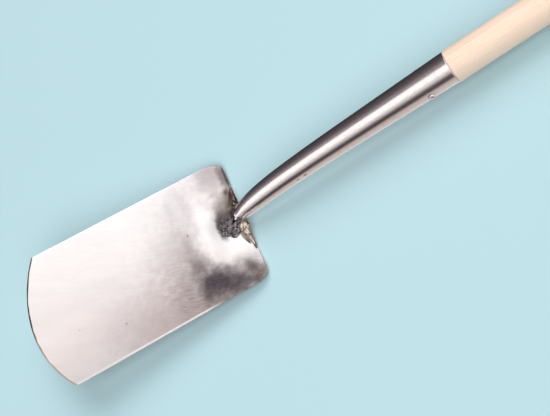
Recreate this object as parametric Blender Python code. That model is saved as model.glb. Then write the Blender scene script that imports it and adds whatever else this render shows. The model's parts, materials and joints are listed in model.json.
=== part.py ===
"""Digging spade: a dished steel blade, a swan-necked socket welded to it, and a split ash handle.

Everything is modelled in the tool's own frame: X across the blade, Y from the blade to the grip,
Z out of the blade's hollow front, with the origin at the middle of the blade's top edge.
The last step lays the finished tool on its back, resting on the socket's heel and the grip.
"""
import math

import bmesh
import bpy
from mathutils import Matrix, Vector

# Clearance left between pieces that touch, and how far cutters reach out past a surface
GAP = 0.0003
CORNER_SWELL = 1.6
CUTTER_OVERRUN = 0.020

# Blade
BLADE_TOP_WIDTH = 0.150
BLADE_SPLAY = 0.006
BLADE_LENGTH = 0.261
CUTTING_EDGE_BOW = 0.0285
TOP_CORNER_WIDTH = 0.010
TOP_CORNER_RUN = 0.020
DISH_DEPTH = 0.006
FLAT_SHARE = 0.15
PLATE_THICKNESS = 0.0025
ROOT_THICKNESS = 0.0032
ROOT_LENGTH = 0.045
BOSS_HEIGHT = 0.0080
BOSS_HALF_WIDTH = 0.017
THINNING_LENGTH = 0.055
BEVEL_LENGTH = 0.004
BEVEL_THICKNESS = 0.0017
CUTTING_EDGE_THICKNESS = 0.0006

# Socket: a straight taper that dips to the blade in a swan neck
SHAFT_LIFT = math.radians(8.9)
AXIS_STATION = 0.090
AXIS_HEIGHT = 0.0445
NECK_DIP = 0.0155
NECK_REACH = 0.034
MOUTH_STATION = 0.261
MOUTH_DIAMETER = 0.0344
SOCKET_TAPER = 0.0485
ROOT_NARROWING = 0.0062
ROOT_REACH = 0.015
SOCKET_WALL = 0.0018
BORE_END_STATION = 0.016

# Skirt: the tube's lower end opens over the arched top edge of the blade and drapes down it
FLARE_STATION = 0.008
SKIRT_HALF_WIDTH = 0.038
SKIRT_TIP = 0.017
SKIRT_TOP = 0.0008
SKIRT_WAIST = 0.0005
SKIRT_THICKNESS = 0.0016
SKIRT_SHOULDER = 0.012
SKIRT_LEAN = 0.6
FLARE_POWER = 9.0
WAIST_POWER = 4.0

# Weld metal: a build-up in front of the tube, and beads along the skirt and behind it
BUILD_UP_HALF_WIDTH = 0.016
BUILD_UP_TIP = 0.027
BUILD_UP_TOP = 0.0200
BUILD_UP_TOP_HALF_WIDTH = 0.0065
BUILD_UP_EDGE = 0.0005
SKIRT_BEAD_RADIUS = 0.0013
BACK_BEAD_RADIUS = 0.0017
BACK_BEAD_HALF_WIDTH = 0.013

# Ash shaft, split and bent into a yoke at the grip
SHAFT_RADIUS = 0.0178
SHAFT_INSERT = 0.148
SHOULDER_CHAMFER = 0.0006
ROD_DISTANCE = 0.533
YOKE_LENGTH = 0.125
YOKE_STRAIGHT_LENGTH = 0.033
KERF_HALF_WIDTH = 0.0012
KERF_RUN = 0.003
GRIP_INNER_HALF_WIDTH = 0.0425
GRIP_OUTER_HALF_WIDTH = 0.0575
HEAD_RADIUS = 0.0165
HEAD_SQUARENESS = 3.2

# Crossbar and its rod
CROSSBAR_RADIUS = 0.0158
CROSSBAR_END_RADIUS = 0.0130
ROD_RADIUS = 0.003
ROD_HEAD_RADIUS = 0.0048
ROD_HEAD_HEIGHT = 0.0018
GRIP_WASHER_RADIUS = 0.007
WASHER_THICKNESS = 0.0012
GRIP_SEAT_DEPTH = 0.0012

# Rivet that keeps the yoke from splitting further
YOKE_RIVET_SETBACK = 0.015
YOKE_RIVET_RADIUS = 0.002
YOKE_HEAD_RADIUS = 0.0036
YOKE_HEAD_HEIGHT = 0.0015
YOKE_WASHER_RADIUS = 0.0052
YOKE_SEAT_DEPTH = 0.0018

# Blind rivets, one in each side of the socket
RIVET_SETBACK = 0.0307
RIVET_HEAD_RADIUS = 0.0040
RIVET_HEAD_HEIGHT = 0.0014
RIVET_BODY_RADIUS = 0.0024
RIVET_BORE_RADIUS = 0.0015
RIVET_REACH = 0.0130
MANDREL_RADIUS = 0.0012
MANDREL_HEAD_RADIUS = 0.0022
MANDREL_HEAD_LENGTH = 0.0022
MANDREL_RECESS = 0.0009
RIVET_HOLE_EXTRA = 0.0010

# Facets
BLADE_ROWS = 6
ROOT_ROWS = 6
BLADE_SIDE_COLUMNS = 9
CORNER_STEPS = 4
TUBE_SIDES = 32
TUBE_RINGS = 18
RING_CROWDING = 1.6
BORE_RINGS = 12
FLARE_RINGS = 10
YOKE_RINGS = 12
WELD_RINGS = 8
CHORD_STEPS = 6
BAR_RINGS = 12
SMALL_SIDES = 20

SPLIT_DISTANCE = ROD_DISTANCE - YOKE_LENGTH
YOKE_BEND_LENGTH = YOKE_LENGTH - YOKE_STRAIGHT_LENGTH

FRONT = Vector((0.0, 0.0, 1.0))
ACROSS = Vector((1.0, 0.0, 0.0))
AXIS = Vector((0.0, math.cos(SHAFT_LIFT), math.sin(SHAFT_LIFT)))
AXIS_FRONT = Vector((0.0, -math.sin(SHAFT_LIFT), math.cos(SHAFT_LIFT)))


def clear_scene():
    for item in list(bpy.data.objects):
        bpy.data.objects.remove(item, do_unlink=True)


def make_material(name, colour, roughness, metallic):
    material = bpy.data.materials.new(name)
    material.use_nodes = True
    shader = material.node_tree.nodes["Principled BSDF"]
    shader.inputs["Base Color"].default_value = (*colour, 1.0)
    shader.inputs["Roughness"].default_value = roughness
    shader.inputs["Metallic"].default_value = metallic
    return material


def make_object(name, bm, material=None, smooth_angle=35.0):
    bmesh.ops.remove_doubles(bm, verts=bm.verts, dist=1e-7)
    bmesh.ops.recalc_face_normals(bm, faces=bm.faces)
    mesh = bpy.data.meshes.new(name)
    bm.to_mesh(mesh)
    bm.free()
    mesh.shade_smooth()
    mesh.set_sharp_from_angle(angle=math.radians(smooth_angle))
    item = bpy.data.objects.new(name, mesh)
    bpy.context.scene.collection.objects.link(item)
    if material:
        mesh.materials.append(material)
    else:
        item.hide_render = True
        item.display_type = "WIRE"
    return item


def cut(item, cutter):
    modifier = item.modifiers.new(cutter.name, "BOOLEAN")
    modifier.operation = "DIFFERENCE"
    modifier.solver = "EXACT"
    modifier.object = cutter


def bridge_rings(bm, first, second):
    count = len(first)
    for k in range(count):
        bm.faces.new((first[k], first[(k + 1) % count], second[(k + 1) % count], second[k]))


def loft(bm, rings, cap_start=True, cap_end=True):
    rows = [[bm.verts.new(point) for point in ring] for ring in rings]
    for first, second in zip(rows, rows[1:]):
        bridge_rings(bm, first, second)
    if cap_start:
        bm.faces.new(rows[0])
    if cap_end:
        bm.faces.new(rows[-1])
    return rows


def lathe(name, profile, centre, direction, material=None, sides=SMALL_SIDES, closed=False):
    """Turn (distance, radius) points round a line; a closed profile makes a hollow ring."""
    direction = direction.normalized()
    side = ACROSS if abs(direction.x) < 0.5 else AXIS
    side = (side - direction * side.dot(direction)).normalized()
    other = direction.cross(side)
    rings = []
    for distance, radius in profile:
        ring = []
        for k in range(sides):
            angle = 2 * math.pi * k / sides
            spoke = side * math.cos(angle) + other * math.sin(angle)
            ring.append(centre + direction * distance + spoke * radius)
        rings.append(ring)
    bm = bmesh.new()
    rows = loft(bm, rings, not closed, not closed)
    if closed:
        bridge_rings(bm, rows[-1], rows[0])
    return make_object(name, bm, material)


def dome(start, radius, height, steps=3):
    """Profile points of a low dome that starts at full radius and ends on its flat crown."""
    turn = math.radians(80.0)
    points = []
    for k in range(1, steps + 1):
        rise = math.sin(turn * k / steps) / math.sin(turn)
        points.append((start + height * rise, radius * math.cos(turn * k / steps)))
    return points


def smooth_step(share):
    share = min(max(share, 0.0), 1.0)
    return share * share * (3.0 - 2.0 * share)


# Blade

def blade_columns():
    """Shares of the half width, with the top corners' arcs spelled out by their own columns."""
    half = BLADE_TOP_WIDTH / 2
    corner_start = (half - TOP_CORNER_WIDTH) / half
    shares = [0.0, FLAT_SHARE / 2, FLAT_SHARE]
    for k in range(1, BLADE_SIDE_COLUMNS + 1):
        shares.append(FLAT_SHARE + (corner_start - FLAT_SHARE) * k / BLADE_SIDE_COLUMNS)
    for k in range(1, CORNER_STEPS + 1):
        turn = math.sin(math.pi / 2 * k / CORNER_STEPS)
        shares.append((half - TOP_CORNER_WIDTH * (1.0 - turn)) / half)
    return [-share for share in reversed(shares[1:])] + shares


def top_edge_y(share):
    """The top edge is straight and ends in quarter ellipses."""
    half = BLADE_TOP_WIDTH / 2
    beyond = (abs(share) * half - (half - TOP_CORNER_WIDTH)) / TOP_CORNER_WIDTH
    if beyond <= 0.0:
        return 0.0
    return TOP_CORNER_RUN * (math.sqrt(max(1.0 - beyond ** 2, 0.0)) - 1.0)


def cutting_edge_y(share):
    half = BLADE_TOP_WIDTH / 2 + BLADE_SPLAY
    arc_radius = (half ** 2 + CUTTING_EDGE_BOW ** 2) / (2 * CUTTING_EDGE_BOW)
    return -BLADE_LENGTH + arc_radius - math.sqrt(arc_radius ** 2 - (share * half) ** 2)


def front_height(x, y):
    """Front face of the plate: dished across, and drawn up in an arch toward the socket."""
    share = abs(x) / (BLADE_TOP_WIDTH / 2)
    rise = max(share - FLAT_SHARE, 0.0) / (1.0 - FLAT_SHARE)
    arch = BOSS_HEIGHT * math.exp(-(x / BOSS_HALF_WIDTH) ** 2)
    return DISH_DEPTH * rise ** 2 + arch * smooth_step(1.0 + min(y, 0.0) / ROOT_LENGTH)


def plate_thickness(y, from_edge=BLADE_LENGTH):
    if from_edge < BEVEL_LENGTH:
        return (CUTTING_EDGE_THICKNESS
                + (BEVEL_THICKNESS - CUTTING_EDGE_THICKNESS) * from_edge / BEVEL_LENGTH)
    if from_edge < THINNING_LENGTH:
        share = (from_edge - BEVEL_LENGTH) / (THINNING_LENGTH - BEVEL_LENGTH)
        return BEVEL_THICKNESS + (PLATE_THICKNESS - BEVEL_THICKNESS) * share
    root = max(1.0 + min(y, 0.0) / ROOT_LENGTH, 0.0)
    return PLATE_THICKNESS + (ROOT_THICKNESS - PLATE_THICKNESS) * root


def blade_stations(top, bottom):
    """Distances along the blade where its grid has rows, from the top edge to the cutting edge."""
    root = [top + (-ROOT_LENGTH - top) * k / ROOT_ROWS for k in range(ROOT_ROWS + 1)]
    thinning = bottom + THINNING_LENGTH
    middle = [-ROOT_LENGTH + (thinning + ROOT_LENGTH) * k / BLADE_ROWS
              for k in range(1, BLADE_ROWS + 1)]
    lower = [bottom + THINNING_LENGTH / 2, bottom + BEVEL_LENGTH, bottom]
    return root + middle + lower


def blade_layers(margin=0.0):
    """Front and back grids of the plate; a margin swells it on every side but the cutting edge."""
    top_half = BLADE_TOP_WIDTH / 2
    edge_half = top_half + BLADE_SPLAY
    front, back = [], []
    for share in blade_columns():
        top = top_edge_y(share)
        bottom = cutting_edge_y(share)
        front_line, back_line = [], []
        for index, y in enumerate(blade_stations(top, bottom)):
            x = share * (top_half + BLADE_SPLAY * (top - y) / (top - bottom))
            z = front_height(share * top_half, y)
            thickness = plate_thickness(y, y - bottom)
            x *= 1.0 + margin / edge_half
            y += margin if index == 0 else 0.0
            front_line.append(Vector((x, y, z + margin)))
            back_line.append(Vector((x, y, z - thickness - margin)))
        front.append(front_line)
        back.append(back_line)
    return front, back


def closed_sheet(name, front, back, material=None):
    bm = bmesh.new()
    layers = []
    for grid in (front, back):
        layers.append([[bm.verts.new(point) for point in line] for line in grid])
    columns, rows = len(front), len(front[0])
    for layer in layers:
        for i in range(columns - 1):
            for j in range(rows - 1):
                bm.faces.new((layer[i][j], layer[i + 1][j], layer[i + 1][j + 1], layer[i][j + 1]))
    rim = [(i, 0) for i in range(columns)]
    rim += [(columns - 1, j) for j in range(1, rows)]
    rim += [(i, rows - 1) for i in range(columns - 2, -1, -1)]
    rim += [(0, j) for j in range(rows - 2, 0, -1)]
    for (i, j), (m, n) in zip(rim, rim[1:] + rim[:1]):
        bm.faces.new((layers[0][i][j], layers[0][m][n], layers[1][m][n], layers[1][i][j]))
    return make_object(name, bm, material)


def build_blade(material):
    front, back = blade_layers()
    return closed_sheet("blade", front, back, material)


def sunk_base(rim):
    """Rings that close a piece half way into the plate under its arched front face."""
    centre = sum(rim, Vector()) / len(rim)
    rings = []
    for k in (3, 2, 1):
        ring = []
        for point in rim:
            x, y, _ = centre.lerp(point, k / 3)
            ring.append(Vector((x, y, front_height(x, y) - plate_thickness(y) / 2)))
        rings.append(ring)
    return rings


# Socket

def neck_point(y):
    straight = AXIS_HEIGHT + math.tan(SHAFT_LIFT) * (y - AXIS_STATION)
    return Vector((0.0, y, straight - NECK_DIP * math.exp(-y / NECK_REACH)))


def neck_front(y):
    """Direction out of the tube's front, square to its centre line."""
    slope = math.tan(SHAFT_LIFT) + NECK_DIP / NECK_REACH * math.exp(-y / NECK_REACH)
    return Vector((0.0, -slope, 1.0)).normalized()


def neck_radius(y):
    narrowing = ROOT_NARROWING * math.exp(-y / ROOT_REACH)
    return (MOUTH_DIAMETER - SOCKET_TAPER * (MOUTH_STATION - y) - narrowing) / 2


def tube_ring(y, radius):
    point = neck_point(y)
    front = neck_front(y)
    ring = []
    for k in range(TUBE_SIDES):
        angle = 2 * math.pi * k / TUBE_SIDES
        ring.append(point + (ACROSS * math.cos(angle) + front * math.sin(angle)) * radius)
    return ring


def bend(start, middle, end, share):
    """Point on a quadratic curve."""
    return start * (1 - share) ** 2 + middle * 2 * share * (1 - share) + end * share ** 2


def rounded_power(value, squareness):
    return math.copysign(abs(value) ** (2.0 / squareness), value)


def skirt_level(x, y):
    """Height of the skirt's upper face, which drapes over the front of the plate."""
    return front_height(x, y) + SKIRT_THICKNESS


def skirt_reach(x):
    """Share of the skirt's full length at a distance across: all in the middle, none at the tips."""
    def bell(distance):
        return 1.0 / (1.0 + (distance / SKIRT_SHOULDER) ** 2)
    least = bell(SKIRT_HALF_WIDTH)
    return (bell(x) - least) / (1.0 - least)


def flare_ring(share):
    """Ring between the tube (share 0) and the skirt's outline on the blade (share 1)."""
    centre = neck_point(FLARE_STATION)
    front = neck_front(FLARE_STATION)
    radius = neck_radius(FLARE_STATION)
    level = skirt_level(0.0, 0.0)
    tip = Vector((0.0, -SKIRT_TIP, level))
    top = Vector((0.0, SKIRT_TOP, level))
    front_top = centre + front * radius
    back_top = centre - front * radius
    reach = (front_top.z - level) * SKIRT_LEAN
    lean = front_top + Vector((0.0, -front.z, front.y)) * reach
    front_point = bend(front_top, lean, tip, share)
    back_point = bend(back_top, back_top.lerp(top, 0.5), top, share)
    waist = (front_point + back_point) / 2
    waist = waist.lerp(Vector((0.0, -SKIRT_WAIST, level)), share ** WAIST_POWER)
    narrow = neck_radius(FLARE_STATION * (1.0 - share))
    side = narrow + (SKIRT_HALF_WIDTH - narrow) * share ** FLARE_POWER
    opened = share ** FLARE_POWER
    ring = []
    for k in range(TUBE_SIDES):
        angle = 2 * math.pi * k / TUBE_SIDES
        across, along = math.cos(angle), abs(math.sin(angle))
        half = back_point - waist
        if k < TUBE_SIDES / 2:
            half = front_point - waist
            along += (skirt_reach(across * SKIRT_HALF_WIDTH) - along) * opened
        point = waist + ACROSS * across * side + half * along
        settle = (skirt_level(point.x, point.y) - level) * opened
        ring.append(point + FRONT * settle)
    return ring


def socket_outer_rings():
    """From below the plate's front face, up the skirt and the neck, to the mouth."""
    rings = sunk_base(flare_ring(1.0))[::-1]
    for k in range(FLARE_RINGS, 0, -1):
        rings.append(flare_ring((k / FLARE_RINGS) ** 0.5))
    for k in range(TUBE_RINGS + 1):
        share = (k / TUBE_RINGS) ** RING_CROWDING
        y = FLARE_STATION + (MOUTH_STATION - FLARE_STATION) * share
        rings.append(tube_ring(y, neck_radius(y)))
    return rings


def bore_radius(y):
    return neck_radius(y) - SOCKET_WALL


def socket_bore_rings():
    rings = []
    for k in range(BORE_RINGS, -1, -1):
        share = (k / BORE_RINGS) ** RING_CROWDING
        y = BORE_END_STATION + (MOUTH_STATION - BORE_END_STATION) * share
        rings.append(tube_ring(y, bore_radius(y)))
    return rings


def build_socket(material, plate_cutter, rivet_cutter):
    bm = bmesh.new()
    loft(bm, socket_outer_rings() + socket_bore_rings())
    socket = make_object("socket", bm, material)
    cut(socket, plate_cutter)
    cut(socket, rivet_cutter)
    return socket


def build_socket_cutter():
    """The socket's outside, swollen along its normals; the factor clears its sharp rim too."""
    bm = bmesh.new()
    loft(bm, socket_outer_rings())
    bmesh.ops.recalc_face_normals(bm, faces=bm.faces)
    bm.normal_update()
    for vertex in bm.verts:
        vertex.co += vertex.normal * GAP * CORNER_SWELL
    return make_object("socket_cutter", bm)


# Welds

def build_up_ring(share):
    """Ring of the weld metal heaped in front of the tube, from high on the tube to the plate."""
    high = Vector((0.0, 0.0, BUILD_UP_TOP))
    middle = Vector((0.0, -BUILD_UP_TIP * 0.55, BUILD_UP_TOP * 0.80))
    low = Vector((0.0, -BUILD_UP_TIP, front_height(0.0, -BUILD_UP_TIP)))
    front_point = bend(high, middle, low, share)
    back_point = neck_point(0.0).lerp(Vector((0.0, -SKIRT_WAIST, BOSS_HEIGHT)), share)
    centre = (front_point + back_point) / 2
    half = (front_point - back_point) / 2
    spread = BUILD_UP_HALF_WIDTH - BUILD_UP_TOP_HALF_WIDTH
    side = BUILD_UP_TOP_HALF_WIDTH + spread * share ** 2
    ring = []
    for k in range(TUBE_SIDES):
        angle = 2 * math.pi * k / TUBE_SIDES
        point = centre + ACROSS * math.cos(angle) * side + half * math.sin(angle)
        settle = front_height(point.x, point.y) + GAP + BUILD_UP_EDGE - point.z
        ring.append(point + FRONT * settle * share ** 4)
    return ring


def bead(name, path, radius, material, cutters, sides=8):
    """Round weld run along a path, tapered to small ends, trimmed by the pieces that it joins."""
    rings = []
    last = len(path) - 1
    for index, point in enumerate(path):
        ahead = path[min(index + 1, last)] - path[max(index - 1, 0)]
        ahead.normalize()
        side = ahead.cross(FRONT).normalized()
        over = side.cross(ahead)
        size = radius * (0.55 if index in (0, last) else 1.0)
        ring = []
        for k in range(sides):
            angle = 2 * math.pi * (k + 0.5) / sides
            ring.append(point + (side * math.cos(angle) + over * math.sin(angle)) * size)
        rings.append(ring)
    bm = bmesh.new()
    loft(bm, rings)
    item = make_object(name, bm, material)
    for cutter in cutters:
        cut(item, cutter)
    return item


def skirt_rim(side):
    """Front rim of one half of the skirt, from near the tube out to its tip."""
    rim = flare_ring(1.0)
    half = rim[:TUBE_SIDES // 4] if side > 0 else rim[TUBE_SIDES // 4 + 1:TUBE_SIDES // 2 + 1]
    run = [p for p in half if abs(p.x) > BUILD_UP_HALF_WIDTH + SKIRT_BEAD_RADIUS * 1.5]
    path = []
    for p in sorted(run, key=lambda p: abs(p.x)):
        y = p.y - SKIRT_BEAD_RADIUS * 0.8
        path.append(Vector((p.x, y, front_height(p.x, y) + SKIRT_BEAD_RADIUS * 0.4)))
    return path


def build_welds(material, plate_cutter, socket_cutter):
    cutters = (plate_cutter, socket_cutter)
    bm = bmesh.new()
    rings = [build_up_ring(k / WELD_RINGS) for k in range(WELD_RINGS + 1)]
    loft(bm, rings + sunk_base(rings[-1]))
    front_weld = make_object("front_weld", bm, material)
    for cutter in cutters:
        cut(front_weld, cutter)
    for side, label in ((-1, "left"), (1, "right")):
        bead("skirt_weld_" + label, skirt_rim(side), SKIRT_BEAD_RADIUS, material, cutters)
    path = []
    for k in range(WELD_RINGS + 1):
        x = BACK_BEAD_HALF_WIDTH * (2.0 * k / WELD_RINGS - 1.0)
        level = front_height(x, 0.0) - plate_thickness(0.0) * 0.55
        path.append(Vector((x, BACK_BEAD_RADIUS * 0.4, level)))
    bead("back_weld", path, BACK_BEAD_RADIUS, material, cutters)


# Shaft

def axis_point(distance):
    """Point on the shaft's line, counted from the socket's mouth toward the grip."""
    return neck_point(MOUTH_STATION) + AXIS * distance


def insert_radius(distance):
    y = MOUTH_STATION + distance * math.cos(SHAFT_LIFT)
    return bore_radius(y) - GAP - NECK_DIP * math.exp(-y / NECK_REACH)


def shaft_ring(distance, radius):
    """Ring that starts at the front and turns through the right side."""
    centre = axis_point(distance)
    ring = []
    for k in range(TUBE_SIDES):
        angle = 2 * math.pi * k / TUBE_SIDES
        ring.append(centre + (ACROSS * math.sin(angle) + AXIS_FRONT * math.cos(angle)) * radius)
    return ring


def arm_section(distance, side):
    """One arm of the yoke: a curved outer side, then the flat inner side back to the front."""
    bent = smooth_step((distance - SPLIT_DISTANCE) / YOKE_BEND_LENGTH)
    kerf = KERF_HALF_WIDTH * min((distance - SPLIT_DISTANCE) / KERF_RUN, 1.0)
    inner = kerf + (GRIP_INNER_HALF_WIDTH - kerf) * bent
    outer = SHAFT_RADIUS + (GRIP_OUTER_HALF_WIDTH - SHAFT_RADIUS) * bent
    depth = SHAFT_RADIUS + (HEAD_RADIUS - SHAFT_RADIUS) * bent
    if distance > ROD_DISTANCE:
        depth = math.sqrt(HEAD_RADIUS ** 2 - (distance - ROD_DISTANCE) ** 2)
    squareness = 2.0 + (HEAD_SQUARENESS - 2.0) * bent
    centre = axis_point(distance)
    half_sides = TUBE_SIDES // 2
    section = []
    for k in range(half_sides + 1):
        angle = math.pi * k / half_sides
        out = rounded_power(math.sin(angle), squareness)
        over = rounded_power(math.cos(angle), squareness)
        section.append(centre + ACROSS * side * (inner + (outer - inner) * out)
                       + AXIS_FRONT * depth * over)
    for k in range(1, CHORD_STEPS):
        over = -1.0 + 2.0 * k / CHORD_STEPS
        section.append(centre + ACROSS * side * inner + AXIS_FRONT * depth * over)
    return section


def arm_stations():
    stations = [SPLIT_DISTANCE + KERF_RUN]
    for k in range(1, YOKE_RINGS + 1):
        stations.append(SPLIT_DISTANCE + KERF_RUN
                        + (YOKE_BEND_LENGTH - KERF_RUN) * k / YOKE_RINGS)
    stations.append(ROD_DISTANCE)
    for k in range(1, 7):
        stations.append(ROD_DISTANCE + HEAD_RADIUS * math.sin(math.radians(14.0 * k)))
    return stations


def build_shaft(material, cutters):
    bm = bmesh.new()
    rings = []
    for k in range(4):
        distance = -SHAFT_INSERT + (SHAFT_INSERT + GAP) * k / 3
        rings.append(shaft_ring(distance, insert_radius(distance)))
    rings.append(shaft_ring(GAP, SHAFT_RADIUS - SHOULDER_CHAMFER))
    rings.append(shaft_ring(GAP + SHOULDER_CHAMFER, SHAFT_RADIUS))
    for k in range(1, 5):
        rings.append(shaft_ring(SPLIT_DISTANCE * k / 4, SHAFT_RADIUS))
    last = loft(bm, rings, cap_end=False)[-1]
    half_sides = TUBE_SIDES // 2
    chord = []
    for k in range(1, CHORD_STEPS):
        over = -1.0 + 2.0 * k / CHORD_STEPS
        chord.append(bm.verts.new(axis_point(SPLIT_DISTANCE) + AXIS_FRONT * SHAFT_RADIUS * over))
    right_arc = last[:half_sides + 1]
    left_arc = [last[-k % TUBE_SIDES] for k in range(half_sides + 1)]
    for side, arc in ((1, right_arc), (-1, left_arc)):
        previous = arc + chord
        for distance in arm_stations():
            section = [bm.verts.new(p) for p in arm_section(distance, side)]
            bridge_rings(bm, previous, section)
            previous = section
        bm.faces.new(previous)
    shaft = make_object("shaft", bm, material)
    for cutter in cutters:
        cut(shaft, cutter)
    return shaft


# Crossbar, its rod and washers

def crossbar_profile():
    half = GRIP_INNER_HALF_WIDTH - GAP
    bore = ROD_RADIUS + GAP
    points = [(-half, bore)]
    for k in range(BAR_RINGS + 1):
        share = 2.0 * k / BAR_RINGS - 1.0
        swell = CROSSBAR_END_RADIUS + (CROSSBAR_RADIUS - CROSSBAR_END_RADIUS) * (1 - share ** 4)
        points.append((half * share, swell))
    points.append((half, bore))
    return points


def double_headed(half_length, radius, head_radius, head_height):
    """Profile of a bar with a peened head at each end."""
    tip = dome(half_length, head_radius, head_height)
    end = [(half_length, radius), (half_length, head_radius)] + tip
    return [(-d, r) for d, r in reversed(end)] + end


def washer(name, start, side, inner, outer, centre, material):
    a, b = side * start, side * (start + WASHER_THICKNESS)
    profile = [(a, inner), (a, outer), (b, outer), (b, inner)]
    return lathe(name, profile, centre, ACROSS, material, closed=True)


def build_grip(wood, steel):
    centre = axis_point(ROD_DISTANCE)
    lathe("crossbar", crossbar_profile(), centre, ACROSS, wood, sides=28, closed=True)
    seat = GRIP_OUTER_HALF_WIDTH - GRIP_SEAT_DEPTH + GAP
    for side, label in ((-1, "left"), (1, "right")):
        washer("grip_washer_" + label, seat, side, ROD_RADIUS + GAP, GRIP_WASHER_RADIUS,
               centre, steel)
    under_head = seat + WASHER_THICKNESS + GAP
    profile = double_headed(under_head, ROD_RADIUS, ROD_HEAD_RADIUS, ROD_HEAD_HEIGHT)
    lathe("grip_rod", profile, centre, ACROSS, steel)


def stepped_cutter(name, centre, hole_radius, seat_start, seat_radius):
    reach = seat_start + CUTTER_OVERRUN
    end = [(seat_start, hole_radius), (seat_start, seat_radius), (reach, seat_radius)]
    profile = [(-d, r) for d, r in reversed(end)] + end
    return lathe(name, profile, centre, ACROSS)


def grip_cutter():
    return stepped_cutter("grip_hole", axis_point(ROD_DISTANCE), ROD_RADIUS + GAP,
                          GRIP_OUTER_HALF_WIDTH - GRIP_SEAT_DEPTH, GRIP_WASHER_RADIUS + GAP)


# Yoke rivet

def yoke_centre():
    return axis_point(SPLIT_DISTANCE - YOKE_RIVET_SETBACK)


def yoke_cutter():
    return stepped_cutter("yoke_hole", yoke_centre(), YOKE_RIVET_RADIUS + GAP,
                          SHAFT_RADIUS - YOKE_SEAT_DEPTH, YOKE_WASHER_RADIUS + GAP)


def build_yoke_rivet(steel):
    seat = SHAFT_RADIUS - YOKE_SEAT_DEPTH + GAP
    for side, label in ((-1, "left"), (1, "right")):
        washer("yoke_washer_" + label, seat, side, YOKE_RIVET_RADIUS + GAP, YOKE_WASHER_RADIUS,
               yoke_centre(), steel)
    under_head = seat + WASHER_THICKNESS + GAP
    profile = double_headed(under_head, YOKE_RIVET_RADIUS, YOKE_HEAD_RADIUS, YOKE_HEAD_HEIGHT)
    lathe("yoke_rivet", profile, yoke_centre(), ACROSS, steel)


# Blind rivets

def rivet_centre():
    return axis_point(-RIVET_SETBACK)


def rivet_seat():
    """Distance from the shaft's line to the underside of a rivet head."""
    return neck_radius(rivet_centre().y) + GAP


def rivet_hole_cutter():
    reach = neck_radius(MOUTH_STATION) + CUTTER_OVERRUN
    floor = rivet_seat() - RIVET_REACH - MANDREL_HEAD_LENGTH - RIVET_HOLE_EXTRA
    radius = RIVET_BODY_RADIUS + GAP
    bm = bmesh.new()
    for side in (-1, 1):
        rings = []
        for distance in (floor, reach):
            centre = rivet_centre() + ACROSS * side * distance
            ring = []
            for k in range(SMALL_SIDES):
                angle = 2 * math.pi * k / SMALL_SIDES
                spoke = AXIS * math.cos(angle) + AXIS_FRONT * math.sin(angle)
                ring.append(centre + spoke * radius)
            rings.append(ring)
        loft(bm, rings)
    return make_object("rivet_holes", bm)


def build_blind_rivets(steel, dark_steel):
    seat = rivet_seat()
    blind_end = seat - RIVET_REACH
    crown = seat + RIVET_HEAD_HEIGHT
    for side, label in ((-1, "left"), (1, "right")):
        direction = ACROSS * side
        sleeve = [(blind_end, RIVET_BORE_RADIUS), (blind_end, RIVET_BODY_RADIUS),
                  (seat, RIVET_BODY_RADIUS), (seat, RIVET_HEAD_RADIUS),
                  (seat + RIVET_HEAD_HEIGHT * 0.35, RIVET_HEAD_RADIUS),
                  (seat + RIVET_HEAD_HEIGHT * 0.85, RIVET_HEAD_RADIUS * 0.72),
                  (crown, RIVET_HEAD_RADIUS * 0.45), (crown, RIVET_BORE_RADIUS)]
        lathe("rivet_" + label, sleeve, rivet_centre(), direction, steel, closed=True)
        tail = blind_end - GAP
        pin = [(tail - MANDREL_HEAD_LENGTH, MANDREL_HEAD_RADIUS * 0.7),
               (tail - MANDREL_HEAD_LENGTH * 0.7, MANDREL_HEAD_RADIUS),
               (tail, MANDREL_HEAD_RADIUS), (tail, MANDREL_RADIUS),
               (crown - MANDREL_RECESS, MANDREL_RADIUS)]
        lathe("mandrel_" + label, pin, rivet_centre(), direction, dark_steel)


# Laying the tool down

def heel_point():
    """Lowest point of the top edge's back, beside the arch."""
    spots = [share * BLADE_TOP_WIDTH / 2 for share in blade_columns()]
    height = min(front_height(x, 0.0) for x in spots if top_edge_y(x / BLADE_TOP_WIDTH * 2) == 0.0)
    return Vector((0.0, 0.0, height - ROOT_THICKNESS))


def lying_tilt():
    """Turn about X that brings the heel and the grip's heads to one level."""
    heel = heel_point()
    grip = axis_point(ROD_DISTANCE)
    span = math.hypot(grip.y - heel.y, grip.z - heel.z)
    rise = math.atan2(grip.z - heel.z, grip.y - heel.y)
    return math.asin(HEAD_RADIUS / span) - rise


def lay_down(pieces):
    """Parent every piece to one empty, turn it, and set the lowest point on the ground."""
    stand = bpy.data.objects.new("lying_frame", None)
    bpy.context.scene.collection.objects.link(stand)
    turn = Matrix.Rotation(lying_tilt(), 4, "X")
    corners = []
    for piece in pieces:
        piece.parent = stand
        if not piece.hide_render:
            corners += [turn @ vertex.co for vertex in piece.data.vertices]
    low = [min(corner[axis] for corner in corners) for axis in range(3)]
    high = [max(corner[axis] for corner in corners) for axis in range(3)]
    shift = Vector((-(low[0] + high[0]) / 2, -(low[1] + high[1]) / 2, -low[2]))
    stand.rotation_euler = (lying_tilt(), 0.0, 0.0)
    stand.location = shift


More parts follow.
